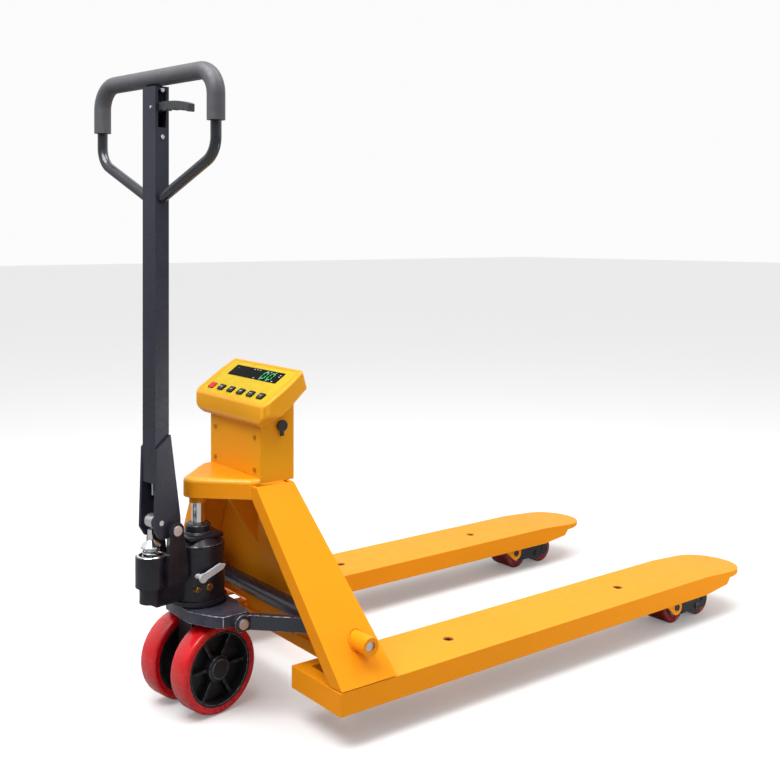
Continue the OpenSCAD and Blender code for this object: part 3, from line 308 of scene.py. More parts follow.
def casting(name, tone, gloss=0.42, grain=900.0):
    """Painted casting: a sandy skin under dark enamel, dusty in the low spots."""
    f = Finish(name)
    f.paint(f.mix(f.spread(f.noise(30.0, 6.0), 0.0, 1.0), shade(tone, 0.75), shade(tone, 1.7)))
    f.rough(f.spread(f.noise(80.0), gloss - 0.08, gloss + 0.12))
    f.bumps((f.noise(grain, 4.0, 0.7), 0.00022, 0.5), (f.noise(45.0), 0.0005, 0.18))
    return f.set(Coat_Weight=0.2, Coat_Roughness=0.16, Specular_IOR_Level=0.3).material


def hammered(name, tone, gloss=0.28):
    """Hammered enamel with small dimples."""
    f = Finish(name)
    f.paint(f.mix(f.noise(14.0, 4.0), shade(tone, 0.8), shade(tone, 1.35)))
    f.rough(f.spread(f.noise(70.0), gloss - 0.05, gloss + 0.1))
    f.bumps((f.cells(380.0, "SMOOTH_F1"), 0.0002, 0.22), (f.noise(16.0, 2.0), 0.0007, 0.15))
    return f.set(Coat_Weight=0.12, Coat_Roughness=0.14, Specular_IOR_Level=0.25).material


def bare_metal(name, tone, gloss=0.22, brush=(1, 1, 12), depth=0.00003):
    """Machined or plated metal with fine tool marks along one way."""
    f = Finish(name)
    f.paint(f.mix(f.noise(40.0, 5.0), shade(tone, 0.84), shade(tone, 1.08)))
    f.rough(f.spread(f.noise(260.0, 3.0, 0.6, brush), gloss - 0.06, gloss + 0.1))
    f.bumps((f.noise(500.0, 2.0, 0.5, brush), depth, 0.4),)
    return f.set(Metallic=1.0).material


def polyurethane(name, tone):
    """Cast polyurethane: deep colour, softly mottled, with faint scuffs round the tread."""
    f = Finish(name)
    scuff = f.spread(f.noise(55.0, 6.0, 0.7), 0.0, 1.0, 0.52, 0.78)
    body = f.mix(f.noise(22.0), shade(tone, 0.82), shade(tone, 1.15))
    f.paint(f.mix(scuff, body, shade(tone, 0.7)))
    f.rough(f.spread(f.noise(90.0, 4.0), 0.2, 0.38))
    f.bumps((f.noise(300.0, 3.0), 0.00012, 0.25), (f.noise(40.0, 3.0), 0.0004, 0.15))
    return f.set(Coat_Weight=0.45, Coat_Roughness=0.12).material


def moulding(name, tone, gloss=0.5, grain=700.0, depth=0.0001, shine=0.5):
    """Moulded plastic or rubber with a fine spark-eroded grain."""
    f = Finish(name)
    f.paint(f.mix(f.noise(35.0, 4.0), shade(tone, 0.85), shade(tone, 1.25)))
    f.rough(f.spread(f.noise(110.0), gloss - 0.08, gloss + 0.1))
    f.bumps((f.cells(grain), depth, 0.4), (f.noise(60.0), 0.0003, 0.12))
    return f.set(Specular_IOR_Level=shine).material


def worn(name, paint, metal):
    """Edge where dark enamel has worn through to bright metal in places."""
    f = Finish(name)
    mask = f.spread(f.noise(120.0, 6.0, 0.75), 0.0, 1.0, 0.42, 0.58)
    f.paint(f.mix(mask, paint, metal))
    f.links.new(f.spread(mask, 0.0, 0.85, 0.0, 1.0), f.shader.inputs["Metallic"])
    f.rough(f.spread(f.noise(200.0), 0.28, 0.5))
    f.bumps((mask, 0.00005, 0.5),)
    return f.material


def tinted_window(name):
    """Black tinted window with a faint brushed haze."""
    f = Finish(name)
    f.paint(f.mix(f.noise(12.0), (0.001, 0.001, 0.0012), (0.003, 0.003, 0.0035)))
    f.rough(f.spread(f.noise(35.0, 3.0), 0.08, 0.2))
    f.bumps((f.noise(25.0, 1.0), 0.0001, 0.1),)
    return f.set(Specular_IOR_Level=0.02).material


def lamp(name, tone, power):
    """Lit segment or small lamp, a little uneven like a diffused diode."""
    f = Finish(name)
    pattern = f.mix(f.noise(700.0, 2.0), shade(tone, 0.8), shade(tone, 1.15))
    f.paint(pattern)
    f.links.new(pattern, f.shader.inputs["Emission Color"])
    f.rough(f.spread(f.noise(400.0), 0.3, 0.5))
    return f.set(Emission_Strength=power).material


# Edges get a lighter copy of the enamel, a painted highlight, with a glossier coat
EDGE_HIGHLIGHT_LIFT = 1.15
EDGE_GLOSS = {"gloss": 0.32, "coat": 0.15, "shine": 0.3}


def build_finishes():
    """Makes every material once and returns them by name."""
    paint, show = setting("truck_paint"), setting("truck_display")
    tone = {key: tuple(getattr(paint, key)) for key in TruckPaint.__annotations__}
    made = {}

    def add(maker, name, *values, **options):
        made[name] = maker(name, *values, **options)

    add(enamel, "fork_paint", tone["fork_paint"])
    # Lighter fork enamel on the rounded edges, a painted highlight, with a glossier coat
    add(enamel, "fork_edge", tone["edge_paint"], gloss=0.3, coat=0.2, shine=0.35)
    add(enamel, "frame_paint", tone["fork_paint"], gloss=0.38, peel=0.6)
    add(enamel, "column_paint", tone["column_paint"], gloss=0.42, peel=0.8)
    add(enamel, "head_paint", tone["head_paint"], gloss=0.42, peel=0.8)
    # Lighter copies of the housing and column paint on their rounded edges: painted highlights
    add(enamel, "head_edge", shade(tone["head_paint"], EDGE_HIGHLIGHT_LIFT), **EDGE_GLOSS)
    add(enamel, "column_edge", shade(tone["column_paint"], EDGE_HIGHLIGHT_LIFT), **EDGE_GLOSS)
    add(moulding, "panel_paint", tone["panel_paint"], 0.55, 1500.0, 0.00003, 0.15)
    add(tinted_window, "window_tint")
    add(moulding, "circuit_board", (0.02, 0.12, 0.05), 0.4, 500.0)
    add(moulding, "battery_case", (0.02, 0.02, 0.024), 0.5, 600.0)
    add(moulding, "key_red", (0.55, 0.02, 0.02), 0.38, 900.0, 0.00004, 0.2)
    add(moulding, "key_black", (0.012, 0.010, 0.010), 0.36, 900.0, 0.00004, 0.15)
    add(moulding, "socket_black", (0.012, 0.012, 0.013), 0.45, 500.0)
    add(moulding, "cap_rubber", (0.016, 0.016, 0.017), 0.6, 500.0)
    add(casting, "pump_paint", tone["pump_paint"], 0.34)
    # Lighter pump enamel on the edges is a painted highlight; the bare metal showing through is wear
    add(worn, "pump_edge", shade(tone["pump_paint"], 1.6), shade(tone["worn_edge"], 0.5))
    add(casting, "plate_casting", shade(tone["steel_blue"], 1.3), 0.4)
    add(enamel, "linkage_paint", tone["steel_blue"], 0.3, 0.7, 0.3, 0.15, 0.4)
    add(worn, "linkage_edge", tone["steel_blue"], tone["worn_edge"])
    add(hammered, "handle_paint", tone["steel_blue"])
    # A much lighter copy of the handle's paint on its rounded edges: a painted highlight
    add(enamel, "handle_edge", shade(tone["steel_blue"], 4.5), 0.25, shine=0.5)
    add(enamel, "loop_paint", (0.02, 0.022, 0.028), 0.22, 0.5, 0.5, 0.2, 0.5)
    add(casting, "lever_paint", tone["lever_black"], 0.36)
    add(worn, "lever_edge", tone["lever_black"], shade(tone["worn_edge"], 0.6))
    add(moulding, "grip_rubber", (0.072, 0.073, 0.082), 0.46, 650.0, 0.0002)
    add(moulding, "lever_plastic", (0.035, 0.037, 0.042), 0.42, 800.0)
    add(bare_metal, "chrome", (0.88, 0.89, 0.91), 0.14, (1, 1, 14), 0.00001)
    add(bare_metal, "zinc", (0.68, 0.69, 0.70), 0.26)
    add(bare_metal, "bright_pin", (0.72, 0.72, 0.74), 0.36, (12, 1, 12))
    add(enamel, "screw_paint", shade(tone["column_paint"], 0.55), 0.4)
    add(moulding, "lever_zinc", (0.60, 0.60, 0.63), 0.32, 800.0, 0.00004)
    add(bare_metal, "brass", (0.66, 0.45, 0.17), 0.28)
    add(bare_metal, "black_oxide", (0.05, 0.05, 0.055), 0.35)
    add(polyurethane, "polyurethane_red", tone["tyre_red"])
    add(polyurethane, "roller_red", tone["roller_red"])
    add(casting, "hub_casting", (0.011, 0.011, 0.013), 0.4, 700.0)
    add(enamel, "weld", shade(tone["fork_paint"], 0.85), 0.3, 0.8)
    add(lamp, "lit_segment", tuple(show.lit), show.power)
    add(moulding, "unlit_segment", tuple(show.dark), 0.3, 900.0, 0.00002, 0.02)
    add(moulding, "print_white", (0.62, 0.62, 0.6), 0.5, 1500.0, 0.00002)
    return made


FINISHES = {}


def finish(name):
    """A material by name, made when first asked for."""
    if not FINISHES:
        FINISHES.update(build_finishes())
    return FINISHES[name]


# ------------------------------------------------------------------ meshes

MERGE = 1e-6
FLAT = math.radians(0.5)
SHARP = math.radians(26)


def new_object(name, mesh, materials):
    """Links a mesh as an object at the origin with its materials."""
    piece = bpy.data.objects.new(name, mesh)
    bpy.context.scene.collection.objects.link(piece)
    mesh.materials.clear()
    for material in materials:
        mesh.materials.append(finish(material))
    return piece


def cad_copy(node):
    """A CAD node's surface as a bmesh, its corners merged and its flat faces joined."""
    source = NODES[node].data
    mesh = bpy.data.meshes.new(node)
    mesh.from_pydata([v.co for v in source.vertices], [], [tuple(p.vertices) for p in source.polygons])
    bm = bmesh.new()
    bm.from_mesh(mesh)
    bpy.data.meshes.remove(mesh)
    bmesh.ops.remove_doubles(bm, verts=bm.verts, dist=MERGE)
    bmesh.ops.dissolve_limit(bm, angle_limit=FLAT, verts=bm.verts, edges=bm.edges)
    return bm


def plain(piece):
    """Applies a piece's modifiers, so that its mesh is final."""
    graph = bpy.context.evaluated_depsgraph_get()
    graph.update()
    mesh = bpy.data.meshes.new_from_object(piece.evaluated_get(graph), depsgraph=graph)
    piece.modifiers.clear()
    old, piece.data = piece.data, mesh
    mesh.name = piece.name
    bpy.data.meshes.remove(old)
    return piece


def softened(node, body_finish, edge_finish, radius, rule=None, steps=3, clamp=True):
    """A CAD node with its sharp outer edges rounded; it stands for the node.

    rule(middle of an edge, its two normals) gives an edge its own radius."""
    bm = cad_copy(node)
    weight = bm.edges.layers.float.new("bevel_weight_edge")
    widest = radius
    for edge in bm.edges:
        edge.smooth = True
        if len(edge.link_faces) != 2 or edge.calc_face_angle(0) < SHARP:
            continue
        edge.smooth = edge.is_convex
        if edge.is_convex:
            middle = (edge.verts[0].co + edge.verts[1].co) / 2
            own = rule(middle, [f.normal for f in edge.link_faces]) if rule else None
            edge[weight] = own if own is not None else radius
            widest = max(widest, edge[weight])
    for edge in bm.edges:
        edge[weight] /= widest
    for face in bm.faces:
        face.smooth = True
    mesh = bpy.data.meshes.new(node + "_finished")
    bm.to_mesh(mesh)
    bm.free()
    piece = new_object(node + "_finished", mesh, [body_finish, edge_finish])
    bevel = piece.modifiers.new("Edges", "BEVEL")
    bevel.limit_method, bevel.width, bevel.segments = "WEIGHT", widest, steps
    bevel.use_clamp_overlap = clamp
    bevel.harden_normals = True
    bevel.material = 1
    bevel.miter_outer = "MITER_ARC"
    plain(piece)
    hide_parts(node)
    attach(piece, NODES[node]["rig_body"])
    return piece


def dress(node, material):
    """Gives a CAD node that stays as it is a better material."""
    NODES[node].material_slots[0].material = finish(material)


def solid(name, bm, material, body):
    """Makes a finished piece of a bmesh and lets it ride on a body."""
    bmesh.ops.recalc_face_normals(bm, faces=bm.faces)
    mesh = bpy.data.meshes.new(name)
    bm.to_mesh(mesh)
    bm.free()
    piece = new_object(name, mesh, [material])
    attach(piece, body)
    return piece


# ------------------------------------------------------------------ geometry nodes


class Tree:
    """A geometry node tree with named inputs."""

    def __init__(self, name, inputs):
        self.group = bpy.data.node_groups.new(name, "GeometryNodeTree")
        face = self.group.interface
        face.new_socket("Geometry", in_out="INPUT", socket_type="NodeSocketGeometry")
        self.sockets = {}
        for label, kind, value in inputs:
            socket = face.new_socket(label, in_out="INPUT", socket_type=kind)
            if value is not None:
                socket.default_value = value
            self.sockets[label] = socket.identifier
        face.new_socket("Geometry", in_out="OUTPUT", socket_type="NodeSocketGeometry")
        self.start = self.group.nodes.new("NodeGroupInput")
        self.end = self.group.nodes.new("NodeGroupOutput")

    def __getitem__(self, label):
        """A named input of the tree."""
        return self.start.outputs[label]

    def add(self, kind, inputs=None, **settings):
        """Adds a node, sets it and links its inputs; an input is a socket or a value."""
        node = self.group.nodes.new(kind)
        for key, value in settings.items():
            setattr(node, key, value)
        for key, value in (inputs or {}).items():
            if isinstance(value, bpy.types.NodeSocket):
                self.group.links.new(value, node.inputs[key])
            else:
                node.inputs[key].default_value = value
        return node

    def close(self, geometry):
        """Ends the tree with Realize Instances and Set Material."""
        real = self.add("GeometryNodeRealizeInstances", {"Geometry": geometry})
        paint = self.add("GeometryNodeSetMaterial", {
            "Geometry": real.outputs["Geometry"], "Material": self["Material"]})
        self.group.links.new(paint.outputs["Geometry"], self.end.inputs["Geometry"])


def grown(name, mesh, tree, values, material, body):
    """Runs a tree on a mesh, keeps the result as a plain mesh and lets it ride on a body."""
    piece = bpy.data.objects.new(name, mesh)
    bpy.context.scene.collection.objects.link(piece)
    modifier = piece.modifiers.new("Rule", "NODES")
    modifier.node_group = tree.group
    for label, value in {**values, "Material": finish(material)}.items():
        modifier[tree.sockets[label]] = value
    plain(piece)
    for polygon in piece.data.polygons:
        polygon.use_smooth = True
    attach(piece, body)
    return piece


def weld_tree():
    """Ripples along a path: each is a flattened ball, leaning back along the seam."""
    tree = Tree("Weld seam", [
        ("Radius", "NodeSocketFloat", 0.003), ("Pitch", "NodeSocketFloat", 0.0026),
        ("Material", "NodeSocketMaterial", None)])
    path = tree.add("GeometryNodeMeshToCurve", {"Mesh": tree["Geometry"]})
    even = tree.add("GeometryNodeResampleCurve", {
        "Curve": path.outputs["Curve"], "Length": tree["Pitch"]}, mode="LENGTH")
    ball = tree.add("GeometryNodeMeshUVSphere", {
        "Segments": 8, "Rings": 5, "Radius": tree["Radius"]})
    tangent = tree.add("GeometryNodeInputTangent")
    turn = tree.add("FunctionNodeAlignEulerToVector", {"Vector": tangent.outputs["Tangent"]}, axis="Z")
    wobble = tree.add("FunctionNodeRandomValue", {"Min": 0.86, "Max": 1.12, "Seed": 7})
    wide = tree.add("ShaderNodeCombineXYZ", {
        "X": wobble.outputs[1], "Y": wobble.outputs[1], "Z": 0.85})
    beads = tree.add("GeometryNodeInstanceOnPoints", {
        "Points": even.outputs["Curve"], "Instance": ball.outputs["Mesh"],
        "Rotation": turn.outputs["Rotation"], "Scale": wide.outputs["Vector"]})
    tree.close(beads.outputs["Instances"])
    return tree


def coil_tree():
    """A round wire wound into a helix, with closed ends."""
    tree = Tree("Coil spring", [
        ("Turns", "NodeSocketFloat", 5.5), ("Radius", "NodeSocketFloat", 0.015),
        ("Height", "NodeSocketFloat", 0.04), ("Wire", "NodeSocketFloat", 0.0034),
        ("Centre", "NodeSocketVector", (0, 0, 0)), ("Material", "NodeSocketMaterial", None)])
    helix = tree.add("GeometryNodeCurveSpiral", {
        "Resolution": 32, "Rotations": tree["Turns"],
        "Start Radius": tree["Radius"], "End Radius": tree["Radius"],
        "Height": tree["Height"]})
    half = tree.add("ShaderNodeMath", {0: tree["Wire"], 1: 0.5}, operation="MULTIPLY")
    ring = tree.add("GeometryNodeCurvePrimitiveCircle", {"Resolution": 12, "Radius": half.outputs[0]})
    wire = tree.add("GeometryNodeCurveToMesh", {
        "Curve": helix.outputs["Curve"], "Profile Curve": ring.outputs["Curve"], "Fill Caps": True})
    moved = tree.add("GeometryNodeSetPosition", {
        "Geometry": wire.outputs["Mesh"], "Offset": tree["Centre"]})
    tree.close(moved.outputs["Geometry"])
    return tree


def path_mesh(name, runs):
    """Open or closed polylines as one mesh of edges; a run is a list of points."""
    points, edges = [], []
    for run in runs:
        first = len(points)
        points += [tuple(p) for p in run]
        edges += [(first + i, first + i + 1) for i in range(len(run) - 1)]
    mesh = bpy.data.meshes.new(name)
    mesh.from_pydata(points, edges, [])
    return mesh


# ------------------------------------------------------------------ places read from the frame


def middle(node):
    """The middle of a CAD node's box."""
    low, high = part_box(node)
    return (low + high) / 2


def joint_place(name):
    """The point that a joint turns about."""
    return Vector(next(j for j in frame["joints"] if j["name"] == name)["pos_m"])


def surface(node):
    """A CAD node's surface, for finding points on it."""
    mesh = NODES[node].data
    return BVHTree.FromPolygons([v.co for v in mesh.vertices], [p.vertices for p in mesh.polygons])


def seen(tree, start, way):
    """The point of a surface that is seen from start, looking along way."""
    hit = tree.ray_cast(Vector(start), Vector(way))[0]
    if hit is None:
        raise RuntimeError(f"nothing is seen from {tuple(start)}")
    return hit


class Panel:
    """Places on the indicator's panel: x runs to the operator's right, y up the slope."""

    def __init__(self):
        mesh = NODES["display_window"].data
        face = max((p for p in mesh.polygons if p.normal.z > 0.5), key=lambda p: p.area)
        self.out = face.normal.copy()
        self.right = Vector((0, -1, 0))
        self.up = self.out.cross(self.right).normalized()
        points = [v.co for v in mesh.vertices]
        low = [min(p.dot(axis) for p in points) for axis in (self.right, self.up)]
        high = [max(p.dot(axis) for p in points) for axis in (self.right, self.up)]
        self.half = [(h - l) / 2 for h, l in zip(high, low)]
        top = max(p.dot(self.out) for p in points)
        self.origin = (self.right * (low[0] + high[0]) / 2 + self.up * (low[1] + high[1]) / 2
                       + self.out * top)

    def at(self, x, y, lift=0.0):
        """A point in metres from the window's middle."""
        return self.origin + self.right * x + self.up * y + self.out * lift

    def over(self, node):
        """Where a node's middle lies on the panel, and how far its top stands off."""
        points = [v.co - self.origin for v in NODES[node].data.vertices]
        centre = middle(node) - self.origin
        return centre.dot(self.right), centre.dot(self.up), max(p.dot(self.out) for p in points)


def tile(bm, corners, depth):
    """A flat closed tile: corners in order, sunk by the vector depth."""
    top = [bm.verts.new(c) for c in corners]
    low = [bm.verts.new(c - depth) for c in corners]
    bm.faces.new(top)
    bm.faces.new(reversed(low))
    for i in range(len(corners)):
        j = (i + 1) % len(corners)
        bm.faces.new((top[i], low[i], low[j], top[j]))


def turned(name, profile, origin, axis, material, body, steps=40):
    """Turns a closed outline of (radius, height) points about an axis."""
    axis = Vector(axis).normalized()
    side = axis.orthogonal().normalized()
    across = axis.cross(side)
    bm = bmesh.new()
    rings = []
    for i in range(steps):
        angle = math.tau * i / steps
        way = side * math.cos(angle) + across * math.sin(angle)
        rings.append([bm.verts.new(Vector(origin) + way * r + axis * h) for r, h in profile])
    for i in range(steps):
        a, b = rings[i], rings[(i + 1) % steps]
        for j in range(len(profile)):
            k = (j + 1) % len(profile)
            bm.faces.new((a[j], b[j], b[k], a[k]))
    piece = solid(name, bm, material, body)
    for polygon in piece.data.polygons:
        polygon.use_smooth = True
    piece.data.set_sharp_from_angle(angle=math.radians(35))
    return piece


def weld(name, runs, material, body, scale=1.0):
    """A weld seam along each run of points."""
    size = setting("truck_welds")
    return grown(name, path_mesh(name, runs), weld_tree(), {
        "Radius": size.radius * scale, "Pitch": size.pitch * scale}, material, body)


# ------------------------------------------------------------------ operators


class Build:
    """Shared part of the operators that build pieces."""

    bl_options = {"REGISTER", "UNDO"}


class TRUCK_OT_forks(Build, bpy.types.Operator):
    """Weigh platforms, inner forks and load cells"""

    bl_idname = "truck.forks"
    bl_label = "Forks"

    def execute(self, context):
        edges = setting("truck_edges")
        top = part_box("platform_right")[1].z

        def fold(point, normals):
            up = max(n.z for n in normals)
            low = min(n.z for n in normals)
            return edges.fold if point.z > top - 0.006 and up > 0.9 and -0.3 < low < 0.3 else None

        for side in ("left", "right"):
            softened(f"platform_{side}", "fork_paint", "fork_edge", edges.sheet, fold)
            softened(f"inner_fork_{side}", "frame_paint", "fork_edge", edges.sheet)
        softened("load_cells", "zinc", "zinc", edges.sheet * 0.6)
        softened("cell_bolts", "black_oxide", "black_oxide", edges.sheet * 0.5)
        return {"FINISHED"}


class TRUCK_OT_chassis(Build, bpy.types.Operator):
    """A-frame, gooseneck, piston and weld seams"""

    bl_idname = "truck.chassis"
    bl_label = "Chassis"

    def execute(self, context):
        edges = setting("truck_edges")
        softened("a_frame", "frame_paint", "fork_edge", edges.sheet * 2.4)
        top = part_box("gooseneck")[1].z
        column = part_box("column")[0].x
        near = 0.001

        def nose(point, normals):
            on_top = point.z > top - near
            return edges.nose if on_top and point.x < column - 4 * near else None

        softened("gooseneck", "frame_paint", "fork_edge", edges.casting, nose, steps=5, clamp=False)
        softened("piston_rod", "chrome", "chrome", edges.sheet)
        self.bosses()
        self.seams()
        return {"FINISHED"}

    def bosses(self):
        """Weld rings round the bosses of the rocker shaft."""
        plates = surface("a_frame")
        shaft = joint_place("rocker_turn")
        low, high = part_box("a_frame")
        runs = []
        # From away, past the shaft's bore, onto the boss's end, then onto its side
        away, bore, inside, proud, steps = 0.1, 0.0135, 0.002, 0.0008, 48
        for side, end in ((-1, low.y), (1, high.y)):
            face = seen(plates, (shaft.x + bore, end + side * away, shaft.z), (0, -side, 0)).y
            start = (shaft.x + away, face - side * inside, shaft.z)
            radius = seen(plates, start, (-1, 0, 0)).x - shaft.x + proud
            ring = []
            for i in range(steps + 1):
                angle = math.tau * i / steps
                place = (shaft.x + radius * math.cos(angle), end + side * away,
                         shaft.z + radius * math.sin(angle))
                ring.append(seen(plates, place, (0, -side, 0)))
            runs.append(ring)
        weld("boss_welds", runs, "weld", "chassis")

    def seams(self):
        """Seams between the transverse plate and the side plates, front and back."""
        plates = surface("a_frame")
        shaft = joint_place("rocker_turn")
        low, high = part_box("a_frame")
        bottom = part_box("platform_right")[1].z + 0.02
        runs, steps, inner, away = [], 12, 0.03, 0.16
        for side in (-1, 1):
            for face in (-1, 1):
                # In front, the side plates' edges close on the plate towards the top
                top = high.z - (0.13 if face > 0 else 0.04)
                run = []
                for i in range(steps + 1):
                    z = bottom + (top - bottom) * i / steps
                    plate = seen(plates, (shaft.x + face * away, side * inner, z), (-face, 0, 0)).x
                    wall = seen(plates, (plate + face * 0.002, side * inner, z), (0, side, 0)).y
                    run.append(Vector((plate, wall, z)))
                runs.append(run)
        weld("plate_welds", runs, "weld", "chassis")


class TRUCK_OT_indicator(Build, bpy.types.Operator):
    """Column, indicator, display and keys"""

    bl_idname = "truck.indicator"
    bl_label = "Indicator"

    def execute(self, context):
        edges = setting("truck_edges")
        softened("column", "column_paint", "column_edge", edges.sheet)
        softened("column_cover", "column_paint", "column_edge", edges.sheet * 0.7)
        softened("cover_screws", "screw_paint", "screw_paint", edges.sheet * 0.4)
        panel = Panel()

        # The recess round the panel keeps crisp edges: its half width, half length and depth
        across, along, deep = panel.half[0] * 1.31, 0.075, 0.02

        def lip(point, normals):
            away = point - panel.origin
            recess = abs(away.y) < across and abs(away.dot(panel.up)) < along
            return edges.sheet * 0.5 if recess and away.dot(panel.out) > -deep else None

        softened("head_housing", "head_paint", "head_edge", edges.housing, lip, steps=4, clamp=False)
        softened("head_panel", "panel_paint", "panel_paint", edges.sheet * 0.2)
        dress("display_window", "window_tint")
        dress("display_board", "circuit_board")
        softened("battery", "battery_case", "battery_case", edges.casting)
        softened("charging_port", "socket_black", "socket_black", edges.sheet * 0.4)
        softened("port_cap", "cap_rubber", "cap_rubber", edges.sheet * 0.5)
        for key in KEYS:
            paint = "key_red" if key == "power" else "key_black"
            softened(f"key_{key}", paint, paint, edges.sheet)
        self.digits(panel)
        self.prints(panel)
        self.key_marks(panel)
        self.foot_seams()
        return {"FINISHED"}

    def digits(self, panel):
        """Seven-segment digits: the last two read zero, with a point between them."""
        show = setting("truck_display")
        lit, dark = bmesh.new(), bmesh.new()
        last = panel.half[0] * 0.62
        for i in range(show.digits):
            x = last - (show.digits - 1 - i) * show.digit_pitch
            on = "abcdef" if i >= show.digits - 2 else ""
            for name in "abcdefg":
                self.segment(lit if name in on else dark, panel, x, name, show)
        dot, foot, half = last - show.digit_pitch / 2, -show.digit_height / 2, 0.0008
        self.bar(lit, panel, (dot - half, foot), (dot + half, foot), 2 * half)
        solid("digits_lit", lit, "lit_segment", "chassis")
        solid("digits_dark", dark, "unlit_segment", "chassis")

    def segment(self, bm, panel, x, name, show):
        """One segment of a digit, slanted a little."""
        w, h = show.digit_width / 2, show.digit_height / 2
        ends = {"a": ((-w, h), (w, h)), "b": ((w, h), (w, 0)), "c": ((w, 0), (w, -h)),
                "d": ((-w, -h), (w, -h)), "e": ((-w, 0), (-w, -h)), "f": ((-w, h), (-w, 0)),
                "g": ((-w, 0), (w, 0))}[name]
        slant = 0.1
        start, stop = [Vector((x + px + slant * py, py)) for px, py in ends]
        gap = (stop - start).normalized() * show.stroke * 0.3
        self.bar(bm, panel, start + gap, stop - gap, show.stroke)

    def bar(self, bm, panel, start, stop, width, base=0.00015, lift=0.0):
        """A bar with pointed ends on the panel."""
        start, stop = Vector(start), Vector(stop)
        along = (stop - start).normalized() * width / 2
        side = Vector((-along.y, along.x))
        outline = [start, start + along + side, stop - along + side, stop, stop - along - side,
                   start + along - side]
        tile(bm, [panel.at(p.x, p.y, lift + base) for p in outline], panel.out * (base + 0.0001))

    def prints(self, panel):
        """Small generic marks beside the digits, each a short dash."""
        bm = bmesh.new()
        half, rise = panel.half
        rows = ((0.74, (-0.2, -0.09, 0.03, 0.36, 0.48, 0.68)), (-0.76, (0.07, 0.31, 0.58, 0.81)))
        for y, places in rows:
            for x in places:
                self.bar(bm, panel, (x * half - 0.003, y * rise), (x * half + 0.003, y * rise), 0.0012)
        for y in (0.5, 0.2):
            self.bar(bm, panel, (0.87 * half, y * rise), (0.93 * half, y * rise), 0.0014)
        self.bar(bm, panel, (-0.84 * half, 0.5 * rise), (-0.825 * half, 0.5 * rise), 0.0012)
        solid("window_marks", bm, "print_white", "chassis")

    def key_marks(self, panel):
        """A short dash on each black key, and a dot under it on the last three."""
        for i, key in enumerate(KEYS[1:]):
            bm = bmesh.new()
            x, y, top = panel.over(f"key_{key}")
            self.bar(bm, panel, (x - 0.0045, y + 0.0006), (x + 0.0045, y + 0.0006), 0.0013, lift=top)
            if i > 1:
                self.bar(bm, panel, (x - 0.0009, y - 0.0032), (x + 0.0009, y - 0.0032), 0.0014, lift=top)
            solid(f"key_{key}_mark", bm, "print_white", f"key_{key}")

    def foot_seams(self):
        """Fine seams along the foot of the column's sides."""
        low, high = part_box("column")
        runs = [[Vector((x, y, low.z - 0.0008)) for x in (low.x + 0.001, high.x - 0.024)]
                for y in (low.y + 0.0006, high.y - 0.0006)]
        # The seams take the column's lighter edge enamel, a painted highlight
        weld("foot_welds", runs, "column_edge", "chassis", 0.55)


class TRUCK_OT_pump(Build, bpy.types.Operator):
    """Pump, plunger, spring and thrust plate"""

    bl_idname = "truck.pump"
    bl_label = "Pump"

    def execute(self, context):
        edges = setting("truck_edges")
        for node, body, edge, radius in (
            ("pump_body", "pump_paint", "pump_edge", edges.casting),
            ("pump_head", "pump_paint", "pump_edge", edges.casting * 0.6),
            ("thrust_plate", "plate_casting", "linkage_edge", edges.casting),
            ("axle_yoke", "pump_paint", "pump_edge", edges.casting),
            ("thrust_bearing", "zinc", "zinc", edges.sheet),
            ("pump_screws", "brass", "brass", edges.sheet),
            ("plunger", "chrome", "chrome", edges.sheet * 0.6),
            ("release_lever", "lever_zinc", "lever_zinc", edges.sheet),
            ("handle_pin", "bright_pin", "bright_pin", edges.sheet),
        ):
            softened(node, body, edge, radius)
        self.spring()
        self.collar()
        self.flange()
        return {"FINISHED"}

    def flange(self):
        """Square flange cast onto the shoulder of the pump, with its corners rounded."""
        axis = middle("piston_rod")
        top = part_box("pump_head")[1].z
        half, corner, foot, head, soft = 0.038, 0.007, top - 0.0255, top - 0.0185, 0.0018
        outline = []
        for turn, (x, y) in enumerate(((1, 1), (-1, 1), (-1, -1), (1, -1))):
            for step in range(5):
                angle = math.radians(90 * turn + 22.5 * step)
                outline.append((x * (half - corner) + corner * math.cos(angle),
                                y * (half - corner) + corner * math.sin(angle)))
        bm = bmesh.new()
        tile(bm, [Vector((axis.x + x, axis.y + y, head)) for x, y in outline], Vector((0, 0, head - foot)))
        rim = [e for e in bm.edges if abs(e.verts[0].co.z - e.verts[1].co.z) < MERGE]
        bmesh.ops.bevel(bm, geom=rim, offset=soft, segments=2, affect="EDGES", profile=0.5)
        piece = solid("pump_flange", bm, "pump_paint", "steering")
        piece.data.set_sharp_from_angle(angle=math.radians(35))

    def collar(self):
        """Bright ring let into the top of the plunger's lobe."""
        low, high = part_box("plunger_spring")
        centre = (low + high) / 2
        edge = 0.0245
        top = seen(surface("pump_body"), (centre.x - edge, centre.y, high.z + 0.1), (0, 0, -1)).z
        profile = [(0.0212, -0.001), (0.0212, 0.0012), (0.0222, 0.0022), (0.0252, 0.0022),
                   (0.0262, 0.0012), (0.0262, -0.001)]
        turned("lobe_ring", profile, (centre.x, centre.y, top), (0, 0, 1), "chrome", "steering")

    def spring(self):
        """The plunger's return spring."""
        size = setting("truck_spring")
        low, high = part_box("plunger_spring")
        centre = (low + high) / 2
        radius = (high.x - low.x - size.wire) / 2
        height = high.z - low.z - size.wire
        base = Vector((centre.x, centre.y, low.z + size.wire / 2))
        piece = grown("plunger_coil", path_mesh("plunger_coil", []), coil_tree(), {
            "Turns": size.turns, "Radius": radius, "Height": height, "Wire": size.wire,
            "Centre": base}, "zinc", "steering")
        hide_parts("plunger_spring")
        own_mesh(piece)


